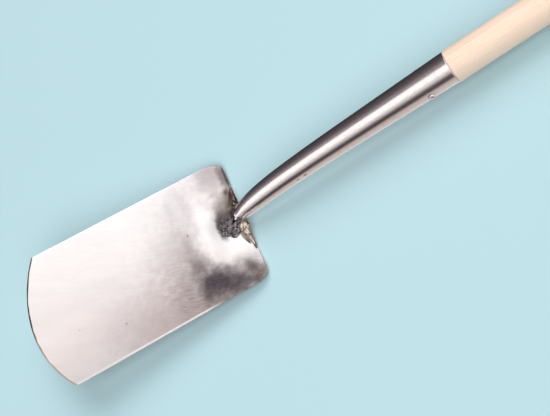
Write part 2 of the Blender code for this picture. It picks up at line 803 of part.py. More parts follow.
def main():
    clear_scene()
    blade_steel = make_material("brushed_stainless", (0.72, 0.70, 0.69), 0.32, 1.0)
    tube_steel = make_material("polished_stainless", (0.75, 0.73, 0.72), 0.14, 1.0)
    weld_steel = make_material("weld_metal", (0.18, 0.15, 0.14), 0.60, 0.8)
    ash = make_material("ash", (0.86, 0.68, 0.48), 0.55, 0.0)
    fastener_steel = make_material("fastener_steel", (0.60, 0.60, 0.60), 0.30, 1.0)
    mandrel_steel = make_material("mandrel_steel", (0.20, 0.20, 0.20), 0.50, 1.0)
    plate_cutter = closed_sheet("plate_cutter", *blade_layers(GAP))
    socket_cutter = build_socket_cutter()
    rivet_holes = rivet_hole_cutter()
    build_blade(blade_steel)
    build_socket(tube_steel, plate_cutter, rivet_holes)
    build_welds(weld_steel, plate_cutter, socket_cutter)
    build_shaft(ash, (rivet_holes, grip_cutter(), yoke_cutter()))
    build_grip(ash, fastener_steel)
    build_yoke_rivet(fastener_steel)
    build_blind_rivets(fastener_steel, mandrel_steel)
    lay_down([item for item in bpy.context.scene.objects if item.type == "MESH"])


main()
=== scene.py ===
"""Digging spade: finer metal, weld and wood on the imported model, with floor, light and camera."""

import json
import math

import bmesh
import bpy
from bpy.props import FloatProperty, FloatVectorProperty, PointerProperty
from bpy.types import Operator, Panel, PropertyGroup
from mathutils import Matrix, Vector, noise


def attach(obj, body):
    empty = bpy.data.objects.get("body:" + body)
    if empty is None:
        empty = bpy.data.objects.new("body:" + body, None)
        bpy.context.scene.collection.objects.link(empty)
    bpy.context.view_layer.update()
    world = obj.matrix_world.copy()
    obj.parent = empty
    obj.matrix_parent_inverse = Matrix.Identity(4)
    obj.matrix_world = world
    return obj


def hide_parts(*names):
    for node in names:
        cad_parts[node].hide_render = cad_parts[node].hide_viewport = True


bl_info = {
    "name": "Digging Spade",
    "version": (1, 0, 0),
    "blender": (4, 5, 0),
    "location": "View3D > Sidebar > Spade",
    "description": "Builds the pieces, finishes, floor and light of a digging spade",
    "category": "Object",
}

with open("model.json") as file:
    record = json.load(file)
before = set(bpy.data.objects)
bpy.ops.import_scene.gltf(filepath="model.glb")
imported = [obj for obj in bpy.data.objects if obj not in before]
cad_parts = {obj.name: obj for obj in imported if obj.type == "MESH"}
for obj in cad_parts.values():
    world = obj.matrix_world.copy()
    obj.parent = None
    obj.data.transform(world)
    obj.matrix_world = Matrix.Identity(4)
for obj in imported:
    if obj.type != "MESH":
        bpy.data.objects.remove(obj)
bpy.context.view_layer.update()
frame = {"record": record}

MM = 0.001
FRONT = Vector((0.0, 0.0, 1.0))
ACROSS = Vector((1.0, 0.0, 0.0))

# The tool's own frame, found from the flat strip on the blade's back: X across, Y to the grip,
# Z out of the hollow front, origin at the middle of the blade's top edge
STRIP_POINT = Vector((0.0, -0.125, -0.0025))


def tool_frame():
    """Turn and place of the tool's own frame, from the record's mount."""
    mount = frame["record"]["mounts"][0]
    tilt = -math.atan2(-mount["axis"][1], -mount["axis"][2])
    turn = Matrix.Rotation(tilt, 4, "X")
    return Matrix.Translation(Vector(mount["pos_m"]) - turn @ STRIP_POINT) @ turn


LIE = tool_frame()

# Clearance between neighbouring pieces, and the finest edges
GAP = 0.0003
FINE_EDGE = 0.0002

# Both sides of the tool: sign of X, and word in the names of pieces
SIDES = ((-1, "left"), (1, "right"))

# Blade
BLADE_TOP_WIDTH = 0.150
BLADE_SPLAY = 0.006
BLADE_LENGTH = 0.261
CUTTING_EDGE_BOW = 0.0285
TOP_CORNER_WIDTH = 0.010
TOP_CORNER_RUN = 0.020
DISH_DEPTH = 0.006
FLAT_SHARE = 0.15
PLATE_THICKNESS = 0.0025
ROOT_THICKNESS = 0.0032
ROOT_LENGTH = 0.045
BOSS_HEIGHT = 0.0080
BOSS_HALF_WIDTH = 0.017
THINNING_LENGTH = 0.055
BEVEL_LENGTH = 0.004
BEVEL_THICKNESS = 0.0017
CUTTING_EDGE_THICKNESS = 0.0006
WORN_EDGE_LENGTH = 0.0028
RIM_SHINE_WIDTH = 0.0018
CHIP_DEPTH = 0.0007
CHIP_SIZE = 0.004
CHIPPED_FROM = 0.45
CHIPPED_RUN = 0.3
WAVE_REACH = 0.085
BLADE_COLUMNS = 44
CORNER_COLUMNS = 14
# Rows down the blade: where each stretch ends, as a share of the way, and its number of rows
BLADE_ROWS = ((0.2, 40), (0.97, 95), (1.0, 20))
# Waves left by pressing: width, length, share of their height and layer of the noise
WAVES = ((0.021, 0.034, 1.0, 1.7), (0.010, 0.016, 0.5, 5.3))

# Socket
SHAFT_LIFT = math.radians(8.9)
AXIS_STATION = 0.090
AXIS_HEIGHT = 0.0445
NECK_DIP = 0.0155
NECK_REACH = 0.034
MOUTH_STATION = 0.261
MOUTH_DIAMETER = 0.0344
SOCKET_TAPER = 0.0485
ROOT_NARROWING = 0.0062
ROOT_REACH = 0.015
SOCKET_WALL = 0.0018
BORE_END_STATION = 0.016
FLARE_STATION = 0.008
SKIRT_HALF_WIDTH = 0.038
SKIRT_TIP = 0.017
SKIRT_TOP = 0.0008
SKIRT_WAIST = 0.0005
SKIRT_THICKNESS = 0.0016
SKIRT_SHOULDER = 0.012
SKIRT_LEAN = 0.6
FLARE_POWER = 9.0
WAIST_POWER = 4.0
SKIRT_PLACE_RUN = 0.012
SKIRT_SINK = 0.001
HAMMERED_START = 0.010
HAMMERED_RUN = 0.012
HAMMER_MARK_SIZE = 0.0034
FINE_MARK_SIZE = 0.0015
SOCKET_SIDES = 96
FOOT_RINGS = 3
FLARE_RINGS = 36
TUBE_RINGS = 110
LIP_RINGS = 8
BORE_RINGS = 30

# Welds
BUILD_UP_HALF_WIDTH = 0.016
BUILD_UP_TIP = 0.0290
BUILD_UP_TOP = 0.0225
BUILD_UP_TOP_HALF_WIDTH = 0.0095
PIT_CENTRE = Vector((0.0055, -0.0084, 0.014))
PIT_REACH = Vector((0.0022, 0.0054, 0.1))
PIT_DEPTH = 0.0016
BUILD_UP_LIFT = 0.0001
BUILD_UP_SINK = 0.0007
BUILD_UP_SIDES = 88
BUILD_UP_RINGS = 40
BUILD_UP_BASE = (1.0, 0.92, 0.8, 0.65, 0.5, 0.35, 0.2, 0.08)
LUMP_SIZE = 0.0032
BEAD_SIDES = 16
BEAD_SPACING = 0.0007
BEAD_END_STEPS = 4
BEAD_END_SHARE = 0.35
BEAD_RIPPLE = 0.10
SKIRT_BEAD_RADIUS = 0.0011
SKIRT_BEAD_AHEAD = 0.0008
SKIRT_BEAD_LIFT = 0.0004
BACK_BEAD_RADIUS = 0.0017
BACK_BEAD_HALF_WIDTH = 0.013
BACK_BEAD_BEHIND = 0.0007
BACK_BEAD_STEPS = 40

# Handle
SHAFT_RADIUS = 0.0178
SHAFT_INSERT = 0.060
SHAFT_FIT = 0.0004
SHOULDER_ROUNDING = 0.0007
ROD_DISTANCE = 0.533
YOKE_LENGTH = 0.125
YOKE_STRAIGHT_LENGTH = 0.033
SPLIT_DISTANCE = ROD_DISTANCE - YOKE_LENGTH
YOKE_BEND_LENGTH = YOKE_LENGTH - YOKE_STRAIGHT_LENGTH
KERF_HALF_WIDTH = 0.0012
KERF_RUN = 0.003
GRIP_INNER_HALF_WIDTH = 0.0425
GRIP_OUTER_HALF_WIDTH = 0.0575
HEAD_RADIUS = 0.0165
HEAD_ARC = math.radians(84.0)
HEAD_LEAD = 0.02
HEAD_SQUARENESS = 3.2
CROSSBAR_RADIUS = 0.0158
CROSSBAR_END_RADIUS = 0.0130
CROSSBAR_EDGE = 0.0006
SHAFT_SIDES = 80
CHORD_STEPS = 16
SHOULDER_RINGS = 4
SHAFT_RINGS = 60
YOKE_RINGS = 40
HEAD_RINGS = 16
CROSSBAR_SIDES = 72
CROSSBAR_STEPS = 40

# Fasteners
ROD_RADIUS = 0.003
ROD_HEAD_RADIUS = 0.0048
ROD_HEAD_HEIGHT = 0.0018
GRIP_SEAT_DEPTH = 0.0012
GRIP_WASHER_RADIUS = 0.007
YOKE_RIVET_SETBACK = 0.015
YOKE_RIVET_RADIUS = 0.002
YOKE_HEAD_RADIUS = 0.0036
YOKE_HEAD_HEIGHT = 0.0015
YOKE_SEAT_DEPTH = 0.0018
YOKE_WASHER_RADIUS = 0.0052
WASHER_THICKNESS = 0.0012
WASHER_EDGE = 0.0003
RIVET_SETBACK = 0.0307
RIVET_REACH = 0.0130
RIVET_BORE_RADIUS = 0.0015
RIVET_BODY_RADIUS = 0.0024
RIVET_HEAD_RADIUS = 0.0040
RIVET_HEAD_HEIGHT = 0.0014
RIVET_RIM_HEIGHT = 0.0005
RIVET_CROWN_RADIUS = 0.0018
RIVET_DISH = 0.0003
MANDREL_RADIUS = 0.0012
MANDREL_TIP_RADIUS = 0.0009
MANDREL_HEAD_RADIUS = 0.0022
MANDREL_HEAD_LENGTH = 0.0022
MANDREL_HEAD_BEVEL = 0.0007
MANDREL_RECESS = 0.0006
PEEN_STEPS = 8
CROWN_STEPS = 6
RIVET_SIDES = 40
MANDREL_SIDES = 32

AXIS = Vector((0.0, math.cos(SHAFT_LIFT), math.sin(SHAFT_LIFT)))
AXIS_FRONT = Vector((0.0, -math.sin(SHAFT_LIFT), math.cos(SHAFT_LIFT)))


# Small helpers

def smooth_step(share):
    """Share with a level start and end."""
    share = min(max(share, 0.0), 1.0)
    return share * share * (3.0 - 2.0 * share)


def bump(distance, reach):
    """Bell curve that is 1 at no distance."""
    return math.exp(-(distance / reach) ** 2)


def bend(start, middle, end, share):
    """Point on a curve that leaves toward the middle point and arrives from it."""
    return start * (1 - share) ** 2 + middle * 2 * share * (1 - share) + end * share ** 2


def rounded_power(value, squareness):
    """Sine or cosine of an outline that is round at 2 and squarer above."""
    return math.copysign(abs(value) ** (2.0 / squareness), value)


def spaced(start, end, steps):
    """Evenly spaced values from start to end."""
    return [start + (end - start) * k / steps for k in range(steps + 1)]


def circle(sides):
    """Cosine and sine of evenly spaced angles, once round."""
    return [(math.cos(angle), math.sin(angle)) for angle in spaced(0.0, 2 * math.pi, sides)[:-1]]


def arc(distance, radius, run, rise, turn, steps):
    """Profile points on an oval arc round a centre, which starts at its full rise."""
    return [(distance + run * math.sin(angle), radius + rise * math.cos(angle))
            for angle in spaced(0.0, turn, steps)[1:]]


def round_ring(centre, right, front, radius, station, spokes):
    """Ring of (right, front) spokes round a centre, and its places along the piece."""
    points = [centre + (right * x + front * z) * radius for x, z in spokes]
    return points, [Vector((x * radius, station, z * radius)) for x, z in spokes]


class Shell:
    """Points in the tool's frame, each with its place on the straightened piece, and faces."""

    def __init__(self):
        self.points = []
        self.places = []
        self.faces = []
        self.shares = {}

    def ring(self, points, places=None):
        """Adds a ring of points and gives their numbers."""
        first = len(self.points)
        self.points += points
        self.places += places or points
        return list(range(first, len(self.points)))

    def bridge(self, first, second, closed=True):
        """Adds faces between two rings."""
        count = len(first)
        for k in range(count if closed else count - 1):
            n = (k + 1) % count
            self.faces.append((first[k], first[n], second[n], second[k]))

    def loft(self, rings, cap_start=True, cap_end=True):
        """Adds the skin over all the rings, and its ends."""
        for first, second in zip(rings, rings[1:]):
            self.bridge(first, second)
        if cap_start:
            self.cap(rings[0])
        if cap_end:
            self.cap(rings[-1])

    def cap(self, ring):
        """Closes a ring with a fan round its middle point."""
        middle = sum((self.points[k] for k in ring), Vector()) / len(ring)
        place = sum((self.places[k] for k in ring), Vector()) / len(ring)
        (centre,) = self.ring([middle], [place])
        for k, index in enumerate(ring):
            self.faces.append((index, ring[(k + 1) % len(ring)], centre))


def add_object(name, data):
    """New object in the scene."""
    item = bpy.data.objects.new(name, data)
    bpy.context.scene.collection.objects.link(item)
    return item


def make_piece(name, shell, material, replaced, sharp_angle=35.0, soft_edges=()):
    """One mesh object that rides on the body and stands for its node."""
    mesh = bpy.data.meshes.new(name)
    mesh.from_pydata([LIE @ point for point in shell.points], [], shell.faces)
    place = mesh.attributes.new("place", "FLOAT_VECTOR", "POINT")
    place.data.foreach_set("vector", [c for point in shell.places for c in point])
    for label, values in shell.shares.items():
        layer = mesh.attributes.new(label, "FLOAT", "POINT")
        for index, value in values.items():
            layer.data[index].value = value
    bm = bmesh.new()
    bm.from_mesh(mesh)
    bmesh.ops.recalc_face_normals(bm, faces=bm.faces)
    if soft_edges:
        weights = bm.edges.layers.float.new("bevel_weight_edge")
        bm.verts.ensure_lookup_table()
        for a, b, weight in soft_edges:
            edge = bm.edges.get((bm.verts[a], bm.verts[b]))
            edge[weights] = weight
    bm.to_mesh(mesh)
    bm.free()
    mesh.shade_smooth()
    mesh.set_sharp_from_angle(angle=math.radians(sharp_angle))
    mesh.materials.append(material)
    piece = add_object(name, mesh)
    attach(piece, "root")
    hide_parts(*replaced)
    return piece


def turned(profile, centre, side=1, sides=48, closed=False):
    """Shell of (distance, radius) points turned round a line across the tool, out to a side."""
    shell = Shell()
    out = ACROSS * side
    rings = [shell.ring(*round_ring(centre + out * distance, AXIS, out.cross(AXIS), radius,
                                    distance, circle(sides)))
             for distance, radius in profile]
    shell.loft(rings, not closed, not closed)
    if closed:
        shell.bridge(rings[-1], rings[0])
    return shell


def rounded_profile(corners, radius, steps=4):
    """Profile with each (distance, radius) corner between its ends replaced by a small arc."""
    points = [corners[0]]
    for last, here, following in zip(corners, corners[1:], corners[2:]):
        corner = Vector(here)
        before, after = Vector(last) - corner, Vector(following) - corner
        size = min(radius, before.length * 0.45, after.length * 0.45)
        start = corner + before.normalized() * size
        end = corner + after.normalized() * size
        points += [bend(start, corner, end, share) for share in spaced(0.0, 1.0, steps)]
    return points + [corners[-1]]


# Shader nodes

def add_node(tree, kind, inputs=None, **settings):
    """New node with its settings made and its inputs linked or set."""
    item = tree.nodes.new(kind)
    for name, value in settings.items():
        setattr(item, name, value)
    for key, value in (inputs or {}).items():
        if isinstance(value, bpy.types.NodeSocket):
            tree.links.new(value, item.inputs[key])
        else:
            item.inputs[key].default_value = value
    return item


def linked_node(kind, inputs, **settings):
    """New node in the tree of the sockets among its inputs."""
    tree = next(value.id_data for value in inputs.values()
                if isinstance(value, bpy.types.NodeSocket))
    return add_node(tree, kind, inputs, **settings)


def maths(operation, first, second=0.0):
    """Result of a maths node."""
    return linked_node("ShaderNodeMath", {0: first, 1: second}, operation=operation).outputs[0]


def plus(first, *others):
    """Sum of all the values."""
    for value in others:
        first = maths("ADD", first, value)
    return first


def minus(first, second):
    """First value less the second."""
    return maths("SUBTRACT", first, second)


def times(first, *others):
    """Product of all the values."""
    for value in others:
        first = maths("MULTIPLY", first, value)
    return first


def vector_maths(operation, first, second=(0.0, 0.0, 0.0), output="Vector"):
    """Result of a vector maths node."""
    return linked_node("ShaderNodeVectorMath", {0: first, 1: second},
                       operation=operation).outputs[output]


def mix_colour(share, first, second, blend="MIX"):
    """Mix of two colours, each a socket or three numbers."""
    inputs = {"Factor": share, "A": first, "B": second}
    for key in ("A", "B"):
        if not isinstance(inputs[key], bpy.types.NodeSocket):
            inputs[key] = (*inputs[key], 1.0)
    return linked_node("ShaderNodeMix", inputs, data_type="RGBA",
                       blend_type=blend).outputs["Result"]


def layered(colour, *layers):
    """Colour with each (share, tone) layer laid over it in turn."""
    for share, tone in layers:
        colour = mix_colour(share, colour, tone)
    return colour


def mix_vector(share, first, second):
    """Mix of two vectors."""
    return linked_node("ShaderNodeMix", {"Factor": share, "A": first, "B": second},
                       data_type="VECTOR").outputs["Result"]


def ramp(value, low, high, to_low=0.0, to_high=1.0, smooth=False):
    """Value carried from one range to another and held at its ends."""
    return linked_node("ShaderNodeMapRange",
                       {"Value": value, "From Min": low, "From Max": high,
                        "To Min": to_low, "To Max": to_high},
                       interpolation_type="SMOOTHSTEP" if smooth else "LINEAR").outputs[0]


def scaled(vector, factors):
    """Vector with each part multiplied by its own factor."""
    return vector_maths("MULTIPLY", vector, factors)


def turned_place(vector, angle):
    """Vector turned about Z."""
    return linked_node("ShaderNodeVectorRotate", {"Vector": vector, "Angle": angle},
                       rotation_type="Z_AXIS").outputs[0]


def split_axes(vector):
    """X, Y and Z of a vector."""
    return linked_node("ShaderNodeSeparateXYZ", {0: vector}).outputs


def attribute(tree, name, output="Fac"):
    """Values that the mesh carries under a name."""
    return add_node(tree, "ShaderNodeAttribute", attribute_name=name).outputs[output]


def soft_noise(vector, scale, detail, roughness):
    """Noise between 0 and 1."""
    return linked_node("ShaderNodeTexNoise", {"Vector": vector, "Scale": scale, "Detail": detail,
                                              "Roughness": roughness}).outputs[0]


def streaks(vector, density, detail, roughness):
    """Noise with its own number of features per metre along each axis."""
    return soft_noise(scaled(vector, density), 1.0, detail, roughness)


def new_group(name, inputs, outputs):
    """Empty shader group; inputs and outputs are (name, kind, default) and (name, kind)."""
    tree = bpy.data.node_groups.new(name, "ShaderNodeTree")
    for label, kind, default in inputs:
        socket = tree.interface.new_socket(label, in_out="INPUT", socket_type="NodeSocket" + kind)
        if default is not None:
            socket.default_value = default
    for label, kind in outputs:
        tree.interface.new_socket(label, in_out="OUTPUT", socket_type="NodeSocket" + kind)
    return tree.nodes.new("NodeGroupInput").outputs, tree.nodes.new("NodeGroupOutput").inputs


def put_out(result, **values):
    """Link values to a group's outputs."""
    for name, value in values.items():
        value.id_data.links.new(value, result[name])


def use_group(name, inputs):
    """Outputs of a shader group used in a material."""
    return linked_node("ShaderNodeGroup", inputs, node_tree=bpy.data.node_groups[name]).outputs


def brush_lines(place, turn, fineness, length):
    """Lines and patches of a ground surface."""
    return use_group("brush_lines", {"Place": place, "Turn": turn, "Fineness": fineness,
                                     "Length": length})


def fine_scratches(place, turn, amount):
    """Scratches and specks of a used surface."""
    return use_group("fine_scratches", {"Place": place, "Turn": turn, "Amount": amount})


def soft_spot(place, centre, reach, turn=0.0, raggedness=0.3, hardness=0.3):
    """Mask of one soft-edged spot."""
    return use_group("soft_spot", {"Place": place, "Centre": centre, "Reach": reach,
                                   "Turn": turn, "Raggedness": raggedness,
                                   "Hardness": hardness})["Mask"]


def build_brush_lines():
    """Fine grinding lines along one direction, with broader uneven patches."""
    given, result = new_group(
        "brush_lines",
        [("Place", "Vector", None), ("Turn", "Float", 0.0), ("Fineness", "Float", 1500.0),
         ("Length", "Float", 30.0)],
        [("Lines", "Float"), ("Patches", "Float")])
    along = turned_place(given["Place"], given["Turn"])
    density = linked_node("ShaderNodeCombineXYZ", {"X": given["Fineness"], "Y": given["Length"],
                                                   "Z": given["Fineness"]})
    put_out(result, Lines=streaks(along, density.outputs[0], 3.0, 0.6),
            Patches=streaks(along, (90.0, 16.0, 90.0), 2.0, 0.5))


def build_soft_spot():
    """Mask that is 1 at a centre and fades to 0 at an ellipse, with a ragged edge."""
    given, result = new_group(
        "soft_spot",
        [("Place", "Vector", None), ("Centre", "Vector", (0.0, 0.0, 0.0)),
         ("Reach", "Vector", (0.01, 0.01, 0.01)), ("Turn", "Float", 0.0),
         ("Raggedness", "Float", 0.3), ("Hardness", "Float", 0.3)],
        [("Mask", "Float")])
    offset = vector_maths("SUBTRACT", given["Place"], given["Centre"])
    share = vector_maths("DIVIDE", turned_place(offset, given["Turn"]), given["Reach"])
    distance = vector_maths("LENGTH", share, output="Value")
    stray = minus(soft_noise(given["Place"], 110.0, 3.0, 0.6), 0.5)
    ragged = plus(distance, times(stray, given["Raggedness"]))
    put_out(result, Mask=ramp(ragged, 1.0, given["Hardness"], smooth=True))


def build_scratches():
    """Sparse short scratches from use, and specks."""
    given, result = new_group(
        "fine_scratches",
        [("Place", "Vector", None), ("Turn", "Float", 0.5), ("Amount", "Float", 0.5)],
        [("Scratches", "Float"), ("Specks", "Float")])
    along = turned_place(given["Place"], given["Turn"])
    lines = streaks(along, (700.0, 45.0, 700.0), 2.0, 0.4)
    limit = minus(0.78, times(given["Amount"], 0.08))
    dots = soft_noise(given["Place"], 420.0, 1.0, 0.5)
    put_out(result, Scratches=maths("GREATER_THAN", lines, limit), Specks=ramp(dots, 0.76, 0.80))


# Ash grain: where the tree's middle lies from the handle's, and how far its layers stray
PITH_X = -0.019
PITH_Z = 0.047
LAYER_DRIFT = 0.011


def build_wood_grain():
    """Straight ash grain along Y: growth layers, open pores and slow colour change."""
    given, result = new_group(
        "ash_grain",
        [("Place", "Vector", None), ("Early", "Color", (0.9, 0.75, 0.6, 1.0)),
         ("Late", "Color", (0.8, 0.6, 0.43, 1.0)), ("Spacing", "Float", 0.0021)],
        [("Colour", "Color"), ("Height", "Float"), ("Pores", "Float")])
    place = given["Place"]
    drift = minus(streaks(place, (22.0, 3.2, 22.0), 2.0, 0.5), 0.5)
    x, _, z = split_axes(place)
    side, up = minus(x, PITH_X), minus(z, PITH_Z)
    around = maths("SQRT", plus(times(side, side), times(up, up)))
    layers = maths("DIVIDE", plus(around, times(drift, LAYER_DRIFT)), given["Spacing"])
    step = maths("FRACT", layers)
    late = ramp(maths("POWER", step, 1.6), 0.25, 1.0)
    pores = streaks(place, (2100.0, 95.0, 2100.0), 1.0, 0.5)
    pores = times(ramp(pores, 0.60, 0.72), ramp(step, 0.45, 0.0))
    fibres = streaks(place, (1100.0, 22.0, 1100.0), 2.0, 0.6)
    slow = streaks(place, (30.0, 5.0, 30.0), 2.0, 0.5)
    colour = layered(given["Early"], (times(late, 0.9), given["Late"]),
                     (ramp(slow, 0.35, 0.75, 0.0, 0.35), given["Late"]))
    colour = mix_colour(ramp(fibres, 0.35, 0.65, 0.0, 0.5), colour, (0.96, 0.84, 0.72), "MULTIPLY")
    colour = mix_colour(times(pores, 0.5), colour, (0.50, 0.33, 0.20))
    put_out(result, Colour=colour, Height=minus(times(fibres, 0.5), pores), Pores=pores)


def start_material(name, metallic, specular=None):
    """Empty material with its place vector and its shader."""
    material = bpy.data.materials.new(name)
    material.use_nodes = True
    tree = material.node_tree
    shader = tree.nodes["Principled BSDF"]
    shader.inputs["Metallic"].default_value = metallic
    if specular is not None:
        shader.inputs["Specular IOR Level"].default_value = specular
    return material, shader, attribute(tree, "place", "Vector")


def dress(shader, colour, roughness, height, distance, strength=1.0):
    """Give a shader its colour, roughness and bump."""
    relief = linked_node("ShaderNodeBump", {"Height": height, "Distance": distance,
                                            "Strength": strength})
    for key, value in (("Base Color", colour), ("Roughness", roughness),
                       ("Normal", relief.outputs[0])):
        shader.id_data.links.new(value, shader.inputs[key])


# Painted reflections and shade on the blade, with some heat tint round the root: light and dark
# patches that stand in for what the dished plate and the arch under the tube reflect, in the order
# of their drawing: centre and reach as x, y, x, y in mm in the tool's frame, turn in degrees,
# hardness of the rim, strength and tone
PAINTED_REFLECTIONS_AND_HEAT_TINT = (
    # painted highlight: the light band round the foot of the arch and the weld
    (-6, -28, 66, 44, 0, 0.2, 0.7, (0.98, 0.965, 0.96)),
    (-90, -140, 80, 200, 0, 0.1, 0.16, (0.44, 0.49, 0.495)),
    (34, -166, 72, 96, 0, 0, 0.28, (0.5, 0.42, 0.41)),
    (40, -226, 90, 84, 0, 0, 0.34, (0.97, 0.84, 0.8)),
    (76, -102, 96, 110, 0, 0.1, 0.75, (0.56, 0.455, 0.44)),
    (-62, -22, 44, 52, 0, 0, 0.46, (0.42, 0.38, 0.385)),
    (-40, -66, 64, 34, 0, 0.1, 0.38, (0.45, 0.42, 0.425)),
    (8, -84, 62, 44, 0, 0.1, 0.52, (0.42, 0.36, 0.355)),
    (36, -82, 40, 24, 10, 0, 0.32, (0.38, 0.32, 0.31)),
    (62, -86, 46, 38, 20, 0, 0.45, (0.36, 0.305, 0.3)),
    (70, -58, 18, 30, 0, 0.2, 0.72, (0.24, 0.19, 0.19)),
    (8, -71, 46, 19, 6, 0, 0.5, (0.44, 0.38, 0.375)),
    (-46, -56, 48, 9, -6, 0, 0.3, (0.45, 0.41, 0.42)),
    (-52, -72, 36, 8, 4, 0, 0.2, (0.45, 0.41, 0.42)),
    (25, -63, 28, 14, -20, 0, 0.86, (0.22, 0.18, 0.185)),
    (-62, -11, 30, 29, 0, 0, 0.72, (0.36, 0.305, 0.32)),
    (-57, -4, 26, 7.5, 0, 0.2, 0.78, (0.14, 0.115, 0.115)),
    (54, -24, 26, 38, 8, 0, 0.8, (0.29, 0.24, 0.24)),
    (68, -8, 20, 16, 0, 0.2, 0.88, (0.21, 0.16, 0.14)),
    (71, -16, 9, 12, 0, 0, 0.55, (0.13, 0.1, 0.1)),
    (53, -13, 16, 10, -12, 0, 0.8, (0.13, 0.105, 0.1)),
    (68, -32, 12, 28, 0, 0.3, 0.8, (0.12, 0.1, 0.11)),
    (51.5, -53, 20, 31, 14, 0.3, 0.98, (0.072, 0.058, 0.068)),
    (37.5, -49.5, 13, 10, -8, 0.1, 0.74, (0.1, 0.082, 0.09)),
    (59.5, -31, 18, 20, 30, 0, 0.86, (0.085, 0.07, 0.08)),
    (60, -62.5, 13, 13, 30, 0, 0.66, (0.085, 0.068, 0.074)),
    (46, -37.5, 15, 7, 0, 0, 0.42, (0.12, 0.1, 0.105)),
    (41, -70, 10, 5.5, 0, 0, 0.42, (0.12, 0.1, 0.1)),
    (30, -61.5, 9, 11, 0, 0, 0.4, (0.2, 0.16, 0.165)),
    (51.5, -24.5, 7, 9, 0, 0, 0.5, (0.6, 0.52, 0.51)),
    (30, -73.5, 15, 9, 20, 0, 0.48, (0.2, 0.165, 0.165)),
    (62, -67.5, 17, 9, 0, 0, 0.45, (0.1, 0.08, 0.08)),
    (23, -54, 12, 9, 0, 0, 0.36, (0.2, 0.165, 0.165)),
    (3, -67, 22, 9, 0, 0, 0.24, (0.34, 0.28, 0.28)),
    (-50, -98, 62, 36, 0, 0, 0.15, (0.44, 0.45, 0.455)),
    (26, -122, 76, 15, 0, 0, 0.16, (0.44, 0.4, 0.4)),
    (-72, -20, 9, 24, 0, 0, 0.5, (0.32, 0.27, 0.28)),
    (-58, -26, 20, 12, 0, 0, 0.22, (0.32, 0.27, 0.28)),
    (-38, -35, 14, 9, 0, 0, 0.22, (0.36, 0.3, 0.31)),
    (74, -34, 6, 30, 0, 0, 0.5, (0.1, 0.08, 0.08)),
    (54, -16, 12, 7, 0, 0, 0.35, (0.13, 0.105, 0.1)),
    (58, -8, 12, 5, 0, 0, 0.35, (0.16, 0.125, 0.115)),
    (38, -41, 10, 7, 0, 0, 0.3, (0.16, 0.13, 0.135)),
    (54, -36, 9, 6, 0, 0, 0.3, (0.09, 0.072, 0.08)),
    (-25, -17, 28, 20, 8, 0.1, 0.84, (0.27, 0.21, 0.19)),
    (-29, -8.5, 24, 7, 20, 0, 0.66, (0.12, 0.085, 0.07)),
    (-38, -9, 12, 6.5, 10, 0, 0.6, (0.08, 0.055, 0.045)),
    (-20.5, -24.5, 12, 6, 14, 0, 0.52, (0.13, 0.09, 0.085)),
    (-2, -25.8, 20, 8.4, 0, 0.5, 0.95, (0.09, 0.078, 0.084)),
    (2, -18, 13, 11, 0, 0.6, 0.9, (0.1, 0.085, 0.085)),
)

# Marks that only the front has: painted shade and dark reflection along the skirt's edges, beside
# the weld and along the blade's top edge, and small pits
FRONT_PAINTED_SHADE_AND_PITS = (
    (-27, -3.4, 18, 6.6, 20, 0.5, 0.85, (0.27, 0.205, 0.155)),
    (-39, -6.8, 7, 5, 15, 0, 0.85, (0.085, 0.06, 0.05)),
    (-31.5, -5.2, 14, 2.8, 23, 0.4, 0.98, (0.045, 0.027, 0.018)),
    (20.5, -7.2, 12, 3.4, -18, 0.5, 0.9, (0.24, 0.18, 0.135)),
    (26, -6.4, 6, 1.5, -22, 0.3, 0.9, (0.06, 0.045, 0.04)),
    (-26, -8.2, 11, 5.5, 20, 0, 0.62, (0.16, 0.12, 0.105)),
    (-32, -2.6, 10, 3.2, 20, 0.3, 0.75, (0.06, 0.04, 0.03)),
    (-16.5, -20.5, 9, 6.5, 10, 0, 0.55, (0.14, 0.1, 0.095)),
    (-54, -0.6, 27, 3, 3, 0.3, 0.85, (0.06, 0.042, 0.034)),
    (-15, -64, 2, 1.5, 0, 0.3, 0.7, (0.18, 0.15, 0.15)),
    (43, -160, 1.7, 1.4, 0, 0.3, 0.6, (0.2, 0.17, 0.17)),
    (23, -211, 2.4, 1.8, 0, 0.3, 0.25, (0.3, 0.26, 0.26)),
)

# Nicks in the tube's polish: place on the tube as if it were straight, half size and tint
TUBE_NICKS = (
    ((0.0128, 0.0820, 0.0013), (0.006, 0.0030, 0.0016), (0.26, 0.215, 0.15)),
    ((0.0126, 0.0731, 0.0012), (0.006, 0.0022, 0.0013), (0.34, 0.29, 0.23)),
)

# Single spots: centre, reach, turn in radians, raggedness and hardness
STROKE_ZONE = ((0.046, -0.084, 0.0), (0.062, 0.044, 0.1), 0.0, 0.3, 0.2)
# painted shade on the tube in the crevice where the neck meets the weld
NECK_CREVICE_SHADE = ((-0.0025, -0.0060, 0.0155), (0.0052, 0.0044, 0.1), 0.0, 0.3, 0.5)
WELD_LOW_LEFT = ((0.001, -0.025, 0.010), (0.009, 0.006, 0.1), 0.0, 0.3, 0.3)
# painted shade round the weld where the neck enters it
WELD_COLLAR_SHADE = ((-0.001, -0.005, 0.014), (0.010, 0.006, 0.1), 0.0, 0.3, 0.4)
# painted shade in the weld's pit
WELD_PIT_SHADE = (PIT_CENTRE, PIT_REACH, -0.15, 0.4, 0.5)

# Start and end of each fade along the blade or tube or across it, and how far burns stray
RIM_SHINE_ALONG = (-0.050, -0.075)
EDGE_DARKENING_ACROSS = (-0.010, 0.040)
BURNT_ROOT_ALONG = (0.010, -0.002)
BURNT_SKIRT_ALONG = (0.0045, -0.0015)
SHADED_TO_LIT_ACROSS = (-0.007, 0.001)
WELD_SCORCH_ACROSS = (0.0, -0.014)
BURN_STRAY = 0.008

